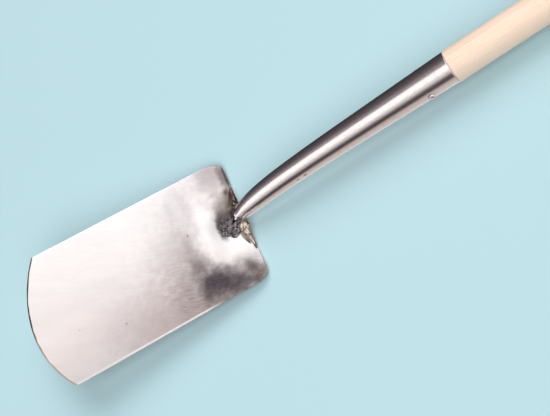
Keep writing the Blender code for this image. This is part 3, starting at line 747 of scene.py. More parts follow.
# Depth of the finest relief on each material
BRUSHED_DEPTH = 0.00004
WELD_GRAIN_DEPTH = 0.00075
PORE_DEPTH = 0.00008
DRAWN_DEPTH = 0.00002

BLADE_LINE_TURN = math.radians(24.0)
DRAWN_STEEL = (0.74, 0.73, 0.72)
MANDREL_STEEL = (0.32, 0.31, 0.31)
FASTENER_ROUGHNESS = 0.40


def blade_finish(settings):
    """Ground steel with slanted lines, painted reflections and shade with some heat tint round the
    root, a painted highlight along its sides and a warm edge.
    """
    material, shader, place = start_material("ground_blade_steel", 0.9)
    lines = brush_lines(place, BLADE_LINE_TURN, 900.0, 26.0)
    colour = layered(settings.steel_colour,
                     (ramp(lines["Patches"], 0.3, 0.7, 0.0, 0.24), (0.76, 0.725, 0.72)),
                     (ramp(lines["Lines"], 0.35, 0.75, 0.0, 0.20), (0.66, 0.62, 0.61)))
    blotches = plus(soft_noise(place, 190.0, 3.0, 0.6), lines["Lines"])
    mottle = ramp(blotches, 0.80, 1.20, 0.92, 1.0)
    front, wear = (attribute(material.node_tree, name) for name in ("front", "wear"))
    for marks, where in ((PAINTED_REFLECTIONS_AND_HEAT_TINT, mottle), (FRONT_PAINTED_SHADE_AND_PITS, front)):
        for x, y, reach_x, reach_y, turn, hardness, strength, tone in marks:
            mask = soft_spot(place, Vector((x, y, 0)) * MM, Vector((reach_x, reach_y, 100)) * MM,
                             math.radians(turn), 0.5, hardness)
            colour = mix_colour(times(mask, strength, where), colour, tone)
    strokes = brush_lines(place, BLADE_LINE_TURN, 620.0, 75.0)["Lines"]
    strokes = times(ramp(strokes, 0.48, 0.66, 0.0, 0.38), soft_spot(place, *STROKE_ZONE))
    specks = fine_scratches(place, 0.9, 0.3)["Specks"]
    x, y, _ = split_axes(place)
    from_middle = plus(maths("ABSOLUTE", x), times(y, BLADE_SPLAY / BLADE_LENGTH))
    half = BLADE_TOP_WIDTH / 2
    # painted highlight: a light line along the blade's side edges, from part way down to the
    # cutting edge
    rim = ramp(from_middle, half - RIM_SHINE_WIDTH, half - RIM_SHINE_WIDTH / 2)
    # darker line along the cutting edge, stronger toward the left
    edge_darkening = times(ramp(wear, 0.40, 0.60), ramp(x, *EDGE_DARKENING_ACROSS, 0.99, 0.45))
    colour = layered(colour,
                     (strokes, (0.22, 0.18, 0.175)),
                     (times(specks, 0.4), (0.30, 0.26, 0.25)),
                     (times(rim, ramp(y, *RIM_SHINE_ALONG)), (0.98, 0.97, 0.96)),
                     (ramp(wear, 0.05, 0.35, 0.0, 0.85), settings.edge_colour),
                     (edge_darkening, (0.055, 0.037, 0.037)))
    rough = ramp(lines["Lines"], 0.3, 0.7, settings.roughness - 0.04, settings.roughness + 0.06)
    dress(shader, colour, rough, lines["Lines"], BRUSHED_DEPTH, 0.5)
    return material


def tube_finish(settings):
    """Lengthwise polished steel that darkens where the tube was heated at its root, with painted
    shade and highlights on the skirt and painted shade in the crevice at the neck.
    """
    material, shader, place = start_material("polished_tube_steel", 1.0)
    lines = brush_lines(place, 0.0, 1300.0, 6.0)
    smears = brush_lines(place, 0.0, 650.0, 190.0)["Lines"]
    x, y, z = split_axes(place)
    stray = times(soft_noise(place, 160.0, 3.0, 0.6), BURN_STRAY)
    down = plus(y, stray, times(maths("MAXIMUM", z, 0.0), 0.9))
    root = ramp(down, *BURNT_ROOT_ALONG, smooth=True)
    skirt = ramp(down, *BURNT_SKIRT_ALONG, smooth=True)
    # painted shade in the skirt's creases and painted highlights between them, over its dark scale
    crease_shade_and_highlights = ramp(soft_noise(place, 300.0, 3.0, 0.55), 0.40, 0.58, smooth=True)
    shaded_scale = mix_colour(crease_shade_and_highlights, (0.075, 0.055, 0.042), (0.40, 0.31, 0.24))
    lit_scale = mix_colour(crease_shade_and_highlights, (0.10, 0.078, 0.064), (0.46, 0.39, 0.335))
    # the skirt's scale is painted darker on its left side as shade and lighter on its right side as
    # highlights
    burnt_and_shaded = mix_colour(ramp(x, *SHADED_TO_LIT_ACROSS, smooth=True), shaded_scale, lit_scale)
    colour = layered(settings.steel_colour,
                     (ramp(lines["Lines"], 0.3, 0.7, 0.0, 0.22), (0.55, 0.50, 0.49)),
                     (ramp(lines["Patches"], 0.42, 0.62, 0.0, 0.24), (0.77, 0.65, 0.65)),
                     (ramp(smears, 0.46, 0.62, 0.0, 0.20), (0.52, 0.42, 0.43)),
                     (times(root, 0.30), (0.50, 0.42, 0.37)),
                     (skirt, burnt_and_shaded))
    for centre, reach, tint in TUBE_NICKS:
        nick = soft_spot(place, centre, reach, hardness=0.4)
        colour = mix_colour(times(nick, 0.8), colour, tint)
    # painted shade in the crevice where the neck meets the weld
    neck_crevice_shade = soft_spot(place, *NECK_CREVICE_SHADE)
    colour = mix_colour(times(neck_crevice_shade, 0.92), colour, (0.07, 0.055, 0.055))
    scratches = fine_scratches(place, 0.12, 0.2)["Scratches"]
    rough = ramp(lines["Lines"], 0.3, 0.7, settings.roughness - 0.03, settings.roughness + 0.04)
    rough = plus(rough, times(root, 0.22), times(scratches, 0.08))
    dress(shader, colour, rough, lines["Lines"], BRUSHED_DEPTH, 0.9)
    return material


def weld_finish(settings):
    """Rough weld metal: dark scale with brighter ground tips, and painted shade round its collar
    and in its pit.
    """
    material, shader, place = start_material("weld_scale", 0.85)
    clumps = soft_noise(place, 300.0, 3.0, 0.65)
    grains = soft_noise(place, 560.0, 2.0, 0.6)
    scorched = times(ramp(split_axes(place)["X"], *WELD_SCORCH_ACROSS, smooth=True),
                     ramp(clumps, 0.3, 0.6))
    limit = minus(0.615, times(soft_spot(place, *WELD_LOW_LEFT), 0.06))
    tips = ramp(minus(grains, limit), 0.0, 0.08)
    # painted shade round the weld's collar at the neck's crevice, made rougher too
    collar_shade = soft_spot(place, *WELD_COLLAR_SHADE)
    colour = layered(settings.scale_colour,
                     (ramp(clumps, 0.42, 0.66), (0.32, 0.29, 0.31)),
                     (scorched, (0.36, 0.27, 0.235)),
                     (tips, (0.68, 0.64, 0.66)),
                     (times(collar_shade, 0.9), (0.045, 0.036, 0.038)),
                     # painted shade: near black in the pit
                     (soft_spot(place, *WELD_PIT_SHADE), (0.004, 0.003, 0.003)))
    rough = minus(ramp(clumps, 0.3, 0.7, 0.42, 0.60), times(tips, 0.2))
    rough = plus(rough, times(collar_shade, 0.25))
    dress(shader, colour, rough, plus(clumps, times(grains, 0.35)), WELD_GRAIN_DEPTH)
    return material


def wood_finish(settings):
    """Oiled ash, rougher in its pores."""
    material, shader, place = start_material("pale_ash", 0.0, 0.35)
    grain = use_group("ash_grain", {"Place": place, "Early": (*settings.early_wood, 1.0),
                                    "Late": (*settings.late_wood, 1.0)})
    rough = ramp(grain["Pores"], 0.0, 1.0, 0.46, 0.75)
    dress(shader, grain["Colour"], rough, grain["Height"], PORE_DEPTH, 0.6)
    return material


def fastener_finish(name, colour):
    """Plain drawn steel with turning lines and a few specks."""
    material, shader, place = start_material(name, 1.0)
    lines = brush_lines(place, 1.57, 2600.0, 300.0)
    specks = fine_scratches(place, 1.2, 0.5)["Specks"]
    shade = layered(colour,
                    (ramp(lines["Patches"], 0.3, 0.7, 0.0, 0.4),
                     tuple(channel * 0.7 for channel in colour)),
                    (times(specks, 0.6), (0.12, 0.10, 0.09)))
    rough = ramp(lines["Lines"], 0.3, 0.7, FASTENER_ROUGHNESS - 0.05, FASTENER_ROUGHNESS + 0.08)
    dress(shader, shade, rough, lines["Lines"], DRAWN_DEPTH, 0.5)
    return material


# Blade form

def top_edge_y(share):
    """Top edge, which curves down round the blade's corners."""
    half = BLADE_TOP_WIDTH / 2
    beyond = (abs(share) * half - (half - TOP_CORNER_WIDTH)) / TOP_CORNER_WIDTH
    if beyond <= 0.0:
        return 0.0
    return TOP_CORNER_RUN * (math.sqrt(max(1.0 - beyond ** 2, 0.0)) - 1.0)


def cutting_edge_y(share):
    """Bowed cutting edge, chipped a little toward its right end."""
    half = BLADE_TOP_WIDTH / 2 + BLADE_SPLAY
    arc_radius = (half ** 2 + CUTTING_EDGE_BOW ** 2) / (2 * CUTTING_EDGE_BOW)
    edge = -BLADE_LENGTH + arc_radius - math.sqrt(arc_radius ** 2 - (share * half) ** 2)
    chips = noise.noise(Vector((share * half / CHIP_SIZE, 3.1, 0.0)))
    chipped = smooth_step((share - CHIPPED_FROM) / CHIPPED_RUN)
    return edge + max(chips, 0.0) * CHIP_DEPTH * chipped


def front_height(x, y):
    """Height of the plate's front: its dish and the arch under the tube."""
    share = abs(x) / (BLADE_TOP_WIDTH / 2)
    rise = max(share - FLAT_SHARE, 0.0) / (1.0 - FLAT_SHARE)
    arch = BOSS_HEIGHT * bump(x, BOSS_HALF_WIDTH)
    return DISH_DEPTH * rise ** 2 + arch * smooth_step(1.0 + min(y, 0.0) / ROOT_LENGTH)


def plate_thickness(y, from_edge):
    """Thickness, less near the cutting edge and more at the root."""
    if from_edge < BEVEL_LENGTH:
        share = from_edge / BEVEL_LENGTH
        return CUTTING_EDGE_THICKNESS + (BEVEL_THICKNESS - CUTTING_EDGE_THICKNESS) * share
    if from_edge < THINNING_LENGTH:
        share = (from_edge - BEVEL_LENGTH) / (THINNING_LENGTH - BEVEL_LENGTH)
        return BEVEL_THICKNESS + (PLATE_THICKNESS - BEVEL_THICKNESS) * share
    root = max(1.0 + min(y, 0.0) / ROOT_LENGTH, 0.0)
    return PLATE_THICKNESS + (ROOT_THICKNESS - PLATE_THICKNESS) * root


def unevenness(x, y, height):
    """Slight waves left by pressing and grinding, strongest near the root."""
    near = 0.25 + 0.75 * bump(y, WAVE_REACH)
    waves = sum(share * noise.noise(Vector((x / width, y / length, layer)))
                for width, length, share, layer in WAVES)
    return waves * height * near


def blade_shares():
    """Shares of the blade's half width, closer together round its top corners."""
    half = BLADE_TOP_WIDTH / 2
    shares = spaced(0.0, (half - TOP_CORNER_WIDTH) / half, BLADE_COLUMNS)
    for angle in spaced(0.0, math.pi / 2, CORNER_COLUMNS)[1:]:
        shares.append((half - TOP_CORNER_WIDTH * (1.0 - math.sin(angle))) / half)
    return [-share for share in reversed(shares[1:])] + shares


def blade_runs():
    """Shares of the way down the blade, closer together at both ends."""
    runs = [0.0]
    for end, rows in BLADE_ROWS:
        runs += spaced(runs[-1], end, rows)[1:]
    return runs


def blade_sheet(settings):
    """Shell of the plate with its front and wear shares, and its soft edges."""
    shares, runs = blade_shares(), blade_runs()
    shell = Shell()
    top_half = BLADE_TOP_WIDTH / 2
    layers = ([], [])
    front, wear = {}, {}
    shell.shares = {"front": front, "wear": wear}
    for share in shares:
        top, bottom = top_edge_y(share), cutting_edge_y(share)
        lines = ([], [])
        for run in runs:
            y = top + (bottom - top) * run
            x = share * (top_half + BLADE_SPLAY * run)
            z = front_height(share * top_half, y) + unevenness(x, y, settings.wave_height)
            thickness = plate_thickness(y, y - bottom)
            lines[0].append(Vector((x, y, z)))
            lines[1].append(Vector((x, y, z - thickness)))
        for layer, line in zip(layers, lines):
            layer.append(shell.ring(line))
        front.update((index, 1.0) for index in layers[0][-1])
        strip = WORN_EDGE_LENGTH * (1.25 + 0.5 * noise.noise(Vector((share * 9.0, 0.4, 0.0))))
        for index, point in zip(layers[0][-1], lines[0]):
            closeness = 1.0 - (point.y - bottom) / strip
            if closeness > 0.0:
                wear[index] = closeness
    for layer in layers:
        for first, second in zip(layer, layer[1:]):
            shell.bridge(first, second, closed=False)
    soft = rim_faces(shell, layers, len(shares), len(runs))
    return shell, soft


def rim_faces(shell, layers, columns, rows):
    """Close the plate's rim, and list its edges with their bevel weights."""
    rim = [(i, 0) for i in range(columns)]
    rim += [(columns - 1, j) for j in range(1, rows)]
    rim += [(i, rows - 1) for i in range(columns - 2, -1, -1)]
    rim += [(0, j) for j in range(rows - 2, 0, -1)]
    edge_row = rows - BLADE_ROWS[-1][1]
    soft = []
    for (i, j), (m, n) in zip(rim, rim[1:] + rim[:1]):
        front, back = layers
        shell.faces.append((front[i][j], front[m][n], back[m][n], back[i][j]))
        weight = 0.2 if max(j, n) >= edge_row else 1.0
        soft.append((front[i][j], front[m][n], weight))
        soft.append((back[i][j], back[m][n], weight))
    return soft


# Socket form

def neck_point(y):
    """Point on the tube's middle line, which dips to the blade in a swan neck."""
    straight = AXIS_HEIGHT + math.tan(SHAFT_LIFT) * (y - AXIS_STATION)
    return Vector((0.0, y, straight - NECK_DIP * math.exp(-y / NECK_REACH)))


def neck_front(y):
    """Direction square to that line, toward the front."""
    slope = math.tan(SHAFT_LIFT) + NECK_DIP / NECK_REACH * math.exp(-y / NECK_REACH)
    return Vector((0.0, -slope, 1.0)).normalized()


def neck_radius(y):
    """Outer radius of the tapering tube."""
    narrowing = ROOT_NARROWING * math.exp(-y / ROOT_REACH)
    return (MOUTH_DIAMETER - SOCKET_TAPER * (MOUTH_STATION - y) - narrowing) / 2


def tube_points(y, radius):
    """Ring of the tube that starts on the right and turns through the front."""
    return round_ring(neck_point(y), ACROSS, neck_front(y), radius, y, circle(SOCKET_SIDES))


def skirt_level(x, y):
    """Height of the skirt's face where it lies on the plate."""
    return front_height(x, y) + SKIRT_THICKNESS


def skirt_reach(x):
    """Share of the skirt's length that is left at a distance from its middle."""
    def bell(distance):
        """Bell curve with long tails."""
        return 1.0 / (1.0 + (distance / SKIRT_SHOULDER) ** 2)

    least = bell(SKIRT_HALF_WIDTH)
    return (bell(x) - least) / (1.0 - least)


def flare_points(share):
    """Ring between the tube (share 0) and the skirt's outline on the blade (share 1)."""
    centre, front = neck_point(FLARE_STATION), neck_front(FLARE_STATION)
    radius = neck_radius(FLARE_STATION)
    level = skirt_level(0.0, 0.0)
    tip = Vector((0.0, -SKIRT_TIP, level))
    top = Vector((0.0, SKIRT_TOP, level))
    front_top, back_top = centre + front * radius, centre - front * radius
    reach = (front_top.z - level) * SKIRT_LEAN
    lean = front_top + Vector((0.0, -front.z, front.y)) * reach
    front_point = bend(front_top, lean, tip, share)
    back_point = bend(back_top, back_top.lerp(top, 0.5), top, share)
    waist = (front_point + back_point) / 2
    waist = waist.lerp(Vector((0.0, -SKIRT_WAIST, level)), share ** WAIST_POWER)
    opened = share ** FLARE_POWER
    narrow = neck_radius(FLARE_STATION * (1.0 - share))
    side = narrow + (SKIRT_HALF_WIDTH - narrow) * opened
    points, places = [], []
    for k, (across, over) in enumerate(circle(SOCKET_SIDES)):
        half, along = back_point - waist, abs(over)
        if k < SOCKET_SIDES / 2:
            half = front_point - waist
            along += (skirt_reach(across * SKIRT_HALF_WIDTH) - along) * opened
        point = waist + ACROSS * across * side + half * along
        settle = (skirt_level(point.x, point.y) - level) * opened
        points.append(point + FRONT * settle)
        places.append(Vector((across * side, -SKIRT_PLACE_RUN * share, over * radius)))
    return points, places


def socket_shell(settings):
    """Shell from under the skirt and up the tube, round its mouth and down its bore."""
    shell = Shell()
    rings = []
    rim, places = flare_points(1.0)
    middle = sum(rim, Vector()) / SOCKET_SIDES
    for share in spaced(0.0, 1.0, FOOT_RINGS)[1:]:
        foot = [middle.lerp(point, share) for point in rim]
        foot = [Vector((x, y, front_height(x, y) - SKIRT_SINK)) for x, y, _ in foot]
        rings.append(shell.ring(foot, places))
    for share in spaced(1.0, 0.0, FLARE_RINGS)[:-1]:
        points, places = flare_points(share ** 0.4)
        if share == 1.0:
            points = [point - FRONT * SKIRT_THICKNESS * 0.55 for point in points]
        rings.append(shell.ring(crumpled(points, settings.crumple), places))
    lip = settings.lip_radius
    end = MOUTH_STATION - lip
    stations = [FLARE_STATION + (end - FLARE_STATION) * share ** 1.5
                for share in spaced(0.0, 1.0, TUBE_RINGS)]
    stations.insert(TUBE_RINGS, MOUTH_STATION - lip * 1.6)
    sections = [(y, neck_radius(y)) for y in stations]
    half_wall = SOCKET_WALL / 2
    sections += arc(end, neck_radius(MOUTH_STATION) - half_wall, lip, half_wall, math.pi,
                    LIP_RINGS)
    sections += [(y, neck_radius(y) - SOCKET_WALL)
                 for y in spaced(end, BORE_END_STATION, BORE_RINGS)]
    shell.loft(rings + [shell.ring(*tube_points(y, radius)) for y, radius in sections])
    return shell


def crumpled(points, height):
    """The skirt was hammered down by hand, so it is uneven where it spreads."""
    moved = []
    for point in points:
        share = smooth_step((HAMMERED_START - point.y) / HAMMERED_RUN)
        bumps = noise.noise(point / HAMMER_MARK_SIZE)
        bumps += 0.6 * noise.noise(point / FINE_MARK_SIZE)
        moved.append(point + FRONT * (bumps - 0.3) * height * share)
    return moved


# Weld form

def lumpy(point, height):
    """Offset of weld metal laid in drops."""
    fine = noise.noise(point / (LUMP_SIZE * 0.45))
    return (noise.noise(point / LUMP_SIZE) + 0.6 * fine) * height


def build_up_shell(settings):
    """Weld metal heaped in front of the tube, from high on the tube to the plate."""
    shell = Shell()
    rings = []
    high = Vector((0.0, 0.0, BUILD_UP_TOP))
    middle = Vector((0.0, -BUILD_UP_TIP * 0.55, BUILD_UP_TOP * 0.8))
    low = Vector((0.0, -BUILD_UP_TIP, front_height(0.0, -BUILD_UP_TIP)))
    foot = Vector((0.0, -SKIRT_WAIST, BOSS_HEIGHT))
    spread = BUILD_UP_HALF_WIDTH - BUILD_UP_TOP_HALF_WIDTH
    for share in spaced(0.0, 1.0, BUILD_UP_RINGS):
        front_point = bend(high, middle, low, share)
        back_point = neck_point(0.0).lerp(foot, share)
        centre, half = (front_point + back_point) / 2, (front_point - back_point) / 2
        side = BUILD_UP_TOP_HALF_WIDTH + spread * share ** 2
        points = []
        for across, along in circle(BUILD_UP_SIDES):
            spoke = Vector((across, along, 0.0))
            spoke *= 1.0 + 0.22 * share * noise.noise(spoke * 1.9 + Vector((0.0, 0.0, 4.1)))
            point = centre + ACROSS * spoke.x * side + half * spoke.y
            settle = front_height(point.x, point.y) + BUILD_UP_LIFT - point.z
            point += FRONT * settle * share ** 4
            outward = (point - centre).normalized()
            lump = lumpy(point, settings.lump_height) * (1.0 - 0.5 * share)
            point += (outward * 0.4 + FRONT * 0.6) * lump
            away = Vector(((point.x - PIT_CENTRE.x) / PIT_REACH.x,
                           (point.y - PIT_CENTRE.y) / PIT_REACH.y))
            points.append(point - FRONT * PIT_DEPTH * bump(away.length, 0.8))
        rings.append(shell.ring(points))
    middle = sum(points, Vector()) / BUILD_UP_SIDES
    for share in BUILD_UP_BASE:
        base = [middle.lerp(point, share) for point in points]
        rings.append(shell.ring([Vector((p.x, p.y, front_height(p.x, p.y) - BUILD_UP_SINK))
                                 for p in base]))
    shell.loft(rings)
    return shell


def bead_shell(path, radius, settings):
    """Rippled weld run along a path."""
    shell = Shell()
    rings = []
    last = len(path) - 1
    for index, point in enumerate(path):
        ahead = (path[min(index + 1, last)] - path[max(index - 1, 0)]).normalized()
        side = ahead.cross(FRONT).normalized()
        over = side.cross(ahead)
        grown = min(min(index, last - index) / BEAD_END_STEPS, 1.0) ** 0.5
        size = radius * (BEAD_END_SHARE + (1.0 - BEAD_END_SHARE) * grown)
        size *= 1.0 + BEAD_RIPPLE * math.sin(index * 1.9)
        ring = []
        for cosine, sine in circle(BEAD_SIDES):
            spoke = side * cosine + over * sine
            lump = lumpy(point + spoke * size, settings.lump_height * 0.4)
            ring.append(point + spoke * (size + lump))
        rings.append(shell.ring(ring))
    shell.loft(rings)
    return shell


def along_path(points, spacing):
    """Evenly spaced points on a broken line."""
    path = [points[0]]
    for start, end in zip(points, points[1:]):
        steps = max(int((end - start).length / spacing), 1)
        path += [start.lerp(end, share) for share in spaced(0.0, 1.0, steps)[1:]]
    return path


def skirt_path(side):
    """Front rim of one half of the skirt, from near the tube out to its tip."""
    rim, _ = flare_points(1.0)
    front = rim[:SOCKET_SIDES // 2 + 1]
    half = [point for point in front if side * point.x > BUILD_UP_HALF_WIDTH * 0.8]
    return [Vector((x, y - SKIRT_BEAD_AHEAD, front_height(x, y) + SKIRT_BEAD_LIFT))
            for x, y, _ in sorted(half, key=lambda point: abs(point.x))]


def back_path():
    """Line behind the tube, along the plate's top edge."""
    return [Vector((x, BACK_BEAD_BEHIND, front_height(x, 0.0) - ROOT_THICKNESS * 0.55))
            for x in spaced(-BACK_BEAD_HALF_WIDTH, BACK_BEAD_HALF_WIDTH, BACK_BEAD_STEPS)]


# Handle form

def axis_point(distance):
    """Point on the handle's middle line, from the tube's mouth."""
    return neck_point(MOUTH_STATION) + AXIS * distance


def bore_fit(distance):
    """Radius of the wood inside the tube."""
    y = MOUTH_STATION + distance * math.cos(SHAFT_LIFT)
    return neck_radius(y) - SOCKET_WALL - SHAFT_FIT


def shaft_points(distance, radius):
    """Ring that starts at the front and turns through the right side."""
    spokes = [(sine, cosine) for cosine, sine in circle(SHAFT_SIDES)]
    return round_ring(axis_point(distance), ACROSS, AXIS_FRONT, radius, distance, spokes)


def arm_points(distance, side):
    """One arm of the yoke, its curved outer side and then its flat inner side."""
    bent = smooth_step((distance - SPLIT_DISTANCE) / YOKE_BEND_LENGTH)
    kerf = KERF_HALF_WIDTH * min((distance - SPLIT_DISTANCE) / KERF_RUN, 1.0)
    inner = kerf + (GRIP_INNER_HALF_WIDTH - kerf) * bent
    outer = SHAFT_RADIUS + (GRIP_OUTER_HALF_WIDTH - SHAFT_RADIUS) * bent
    depth = SHAFT_RADIUS + (HEAD_RADIUS - SHAFT_RADIUS) * bent
    if distance > ROD_DISTANCE:
        depth = math.sqrt(HEAD_RADIUS ** 2 - (distance - ROD_DISTANCE) ** 2)
    squareness = 2.0 + (HEAD_SQUARENESS - 2.0) * bent
    centre = axis_point(distance)
    points, places = [], []

    def put(out, over):
        """Point at a share of the arm's width and depth."""
        points.append(centre + ACROSS * side * (inner + (outer - inner) * out)
                      + AXIS_FRONT * depth * over)
        split_out = KERF_HALF_WIDTH + (SHAFT_RADIUS - KERF_HALF_WIDTH) * out
        places.append(Vector((side * split_out, distance, depth * over)))

    for angle in spaced(0.0, math.pi, SHAFT_SIDES // 2):
        put(rounded_power(math.sin(angle), squareness), rounded_power(math.cos(angle), squareness))
    for over in spaced(-1.0, 1.0, CHORD_STEPS)[1:-1]:
        put(0.0, over)
    return points, places


def shaft_shell():
    """Shell from inside the tube to the split, and on to the ends of both arms."""
    shell = Shell()
    start = GAP + SHOULDER_ROUNDING
    sections = [(distance, bore_fit(distance))
                for distance in (-SHAFT_INSERT, -SHAFT_INSERT / 2, GAP)]
    sections += reversed(arc(start, SHAFT_RADIUS - SHOULDER_ROUNDING, -SHOULDER_ROUNDING,
                             SHOULDER_ROUNDING, math.pi / 2, SHOULDER_RINGS))
    sections += [(distance, SHAFT_RADIUS)
                 for distance in spaced(start, SPLIT_DISTANCE, SHAFT_RINGS)]
    rings = [shell.ring(*shaft_points(distance, radius)) for distance, radius in sections]
    shell.loft(rings, cap_end=False)
    heights = spaced(-SHAFT_RADIUS, SHAFT_RADIUS, CHORD_STEPS)[1:-1]
    chord = shell.ring([axis_point(SPLIT_DISTANCE) + AXIS_FRONT * over for over in heights],
                       [Vector((0.0, SPLIT_DISTANCE, over)) for over in heights])
    stations = spaced(SPLIT_DISTANCE + KERF_RUN, SPLIT_DISTANCE + YOKE_BEND_LENGTH, YOKE_RINGS)
    stations += [ROD_DISTANCE - HEAD_LEAD]
    stations += [ROD_DISTANCE + HEAD_RADIUS * math.sin(angle)
                 for angle in spaced(0.0, HEAD_ARC, HEAD_RINGS)]
    right = rings[-1][:SHAFT_SIDES // 2 + 1]
    left = [rings[-1][-k % SHAFT_SIDES] for k in range(SHAFT_SIDES // 2 + 1)]
    for side, half_ring in ((1, right), (-1, left)):
        previous = half_ring + chord
        for distance in stations:
            section = shell.ring(*arm_points(distance, side))
            shell.bridge(previous, section)
            previous = section
        shell.cap(previous)
    return shell


def crossbar_shell():
    """Barrel-shaped bar, bored for the rod."""
    half = GRIP_INNER_HALF_WIDTH - GAP
    bore = ROD_RADIUS + GAP
    swell = CROSSBAR_RADIUS - CROSSBAR_END_RADIUS
    barrel = [(half * share, CROSSBAR_END_RADIUS + swell * (1.0 - share ** 4))
              for share in spaced(-1.0, 1.0, CROSSBAR_STEPS)]
    profile = rounded_profile([(-half, bore)] + barrel + [(half, bore)], CROSSBAR_EDGE)
    return turned(profile, axis_point(ROD_DISTANCE), sides=CROSSBAR_SIDES, closed=True)


def headed_end(under_head, shank, head, height):
    """Half profile of a shank with a peened head."""
    rim = height * 0.12
    return ([(under_head, shank), (under_head, head * 0.94), (under_head + rim, head)]
            + arc(under_head + rim, 0.0, height - rim, head, math.radians(88.0), PEEN_STEPS))


def pin_shell(centre, seat, shank, head, height):
    """Pin across the handle, with a peened head over the washer at either end."""
    end = headed_end(seat + WASHER_THICKNESS + GAP, shank, head, height)
    return turned([(-distance, radius) for distance, radius in reversed(end)] + end, centre)


def washer_shell(centre, seat, side, shank, outer):
    """Washer that lies on its seat round a shank."""
    inner = shank + GAP
    a, b = side * seat, side * (seat + WASHER_THICKNESS)
    edge = side * WASHER_EDGE
    profile = [(a, inner), (a, outer - FINE_EDGE), (a + edge, outer), (b - edge, outer),
               (b, outer - 2 * FINE_EDGE), (b, inner + FINE_EDGE), (b - edge, inner)]
    return turned(profile, centre, closed=True)


def blind_rivet_shells(side):
    """Flanged sleeve with a dished crown, and the broken end of its mandrel."""
    centre = axis_point(-RIVET_SETBACK)
    seat = neck_radius(centre.y) + GAP
    end, rim = seat - RIVET_REACH, seat + RIVET_RIM_HEIGHT
    crown = seat + RIVET_HEAD_HEIGHT
    sleeve = [(end, RIVET_BORE_RADIUS), (end, RIVET_BODY_RADIUS), (seat, RIVET_BODY_RADIUS),
              (seat, RIVET_HEAD_RADIUS - FINE_EDGE), (seat + FINE_EDGE, RIVET_HEAD_RADIUS),
              (rim, RIVET_HEAD_RADIUS)]
    sleeve += arc(rim, RIVET_CROWN_RADIUS, crown - rim,
                  RIVET_HEAD_RADIUS - RIVET_CROWN_RADIUS, math.pi / 2, CROWN_STEPS)
    sleeve.append((crown - RIVET_DISH, RIVET_BORE_RADIUS))
    tip, neck = crown - MANDREL_RECESS, end - GAP
    foot = neck - MANDREL_HEAD_LENGTH
    mandrel = [(foot, MANDREL_HEAD_RADIUS - MANDREL_HEAD_BEVEL),
               (foot + MANDREL_HEAD_BEVEL, MANDREL_HEAD_RADIUS), (neck, MANDREL_HEAD_RADIUS),
               (neck, MANDREL_RADIUS), (tip - FINE_EDGE, MANDREL_RADIUS),
               (tip, MANDREL_TIP_RADIUS)]
    return (turned(sleeve, centre, side, RIVET_SIDES, True),
            turned(mandrel, centre, side, MANDREL_SIDES))


# Settings

class SpadeBladeSettings(PropertyGroup):
    """Looks and sizes of the blade"""
    steel_colour: FloatVectorProperty(
        name="Steel", description="Colour of the blade's ground steel", subtype="COLOR",
        size=3, min=0.0, max=1.0, default=(0.90, 0.863, 0.853))
    edge_colour: FloatVectorProperty(
        name="Worn edge", description="Warm colour of the worn cutting edge", subtype="COLOR",
        size=3, min=0.0, max=1.0, default=(0.97, 0.80, 0.69))
    roughness: FloatProperty(
        name="Roughness", description="How matt the ground blade is", subtype="FACTOR",
        min=0.1, max=0.9, default=0.52)
    edge_radius: FloatProperty(
        name="Edge radius", description="Rounding of the blade's rim", subtype="DISTANCE",
        unit="LENGTH", min=0.0001, max=0.0012, default=0.0006)
    wave_height: FloatProperty(
        name="Unevenness", description="Height of the waves left by pressing",
        subtype="DISTANCE", unit="LENGTH", min=0.0, max=0.001, default=0.00022)


class SpadeSocketSettings(PropertyGroup):
    """Looks and sizes of the tube"""
    steel_colour: FloatVectorProperty(
        name="Steel", description="Colour of the polished tube", subtype="COLOR",
        size=3, min=0.0, max=1.0, default=(0.80, 0.755, 0.74))
    roughness: FloatProperty(
        name="Roughness", description="How matt the polished tube is", subtype="FACTOR",
        min=0.02, max=0.9, default=0.16)
    lip_radius: FloatProperty(
        name="Lip radius", description="Rounding of the tube's mouth", subtype="DISTANCE",
        unit="LENGTH", min=0.0001, max=0.0009, default=0.0005)
    crumple: FloatProperty(
        name="Hammering", description="Unevenness of the skirt", subtype="DISTANCE",
        unit="LENGTH", min=0.0, max=0.002, default=0.0007)


class SpadeWeldSettings(PropertyGroup):
    """Looks and sizes of the weld metal"""
    scale_colour: FloatVectorProperty(
        name="Scale", description="Colour of the weld's dark scale", subtype="COLOR",
        size=3, min=0.0, max=1.0, default=(0.042, 0.036, 0.038))
    lump_height: FloatProperty(
        name="Lump height", description="Height of the drops of weld metal", subtype="DISTANCE",
        unit="LENGTH", min=0.0, max=0.002, default=0.0010)


class SpadeHandleSettings(PropertyGroup):
    """Colours of the handle's wood"""
    early_wood: FloatVectorProperty(
        name="Early wood", description="Pale part of the ash grain", subtype="COLOR",
        size=3, min=0.0, max=1.0, default=(0.885, 0.715, 0.60))
    late_wood: FloatVectorProperty(
        name="Late wood", description="Darker part of the ash grain", subtype="COLOR",
        size=3, min=0.0, max=1.0, default=(0.815, 0.60, 0.455))


class SpadeStageSettings(PropertyGroup):
    """Floor colour and brightness of the light"""
    floor_colour: FloatVectorProperty(
        name="Floor", description="Colour of the floor", subtype="COLOR",
        size=3, min=0.0, max=1.0, default=(0.45, 0.635, 0.685))
    room_strength: FloatProperty(
        name="Studio", description="Brightness of the studio that the metal shows",
        min=0.0, max=10.0, default=1.0)
    overhead_strength: FloatProperty(
        name="Overhead light", description="Brightness of the soft box that the blade shows",
        min=0.0, max=10.0, default=2.63)
    fill_power: FloatProperty(
        name="Fill light", description="Power of the broad light on floor and wood",
        subtype="POWER", min=0.0, max=1000.0, default=140.0)


SETTINGS = {
    "spade_blade": SpadeBladeSettings,
    "spade_socket": SpadeSocketSettings,
    "spade_weld": SpadeWeldSettings,
    "spade_handle": SpadeHandleSettings,
    "spade_stage": SpadeStageSettings,
}


# Operators

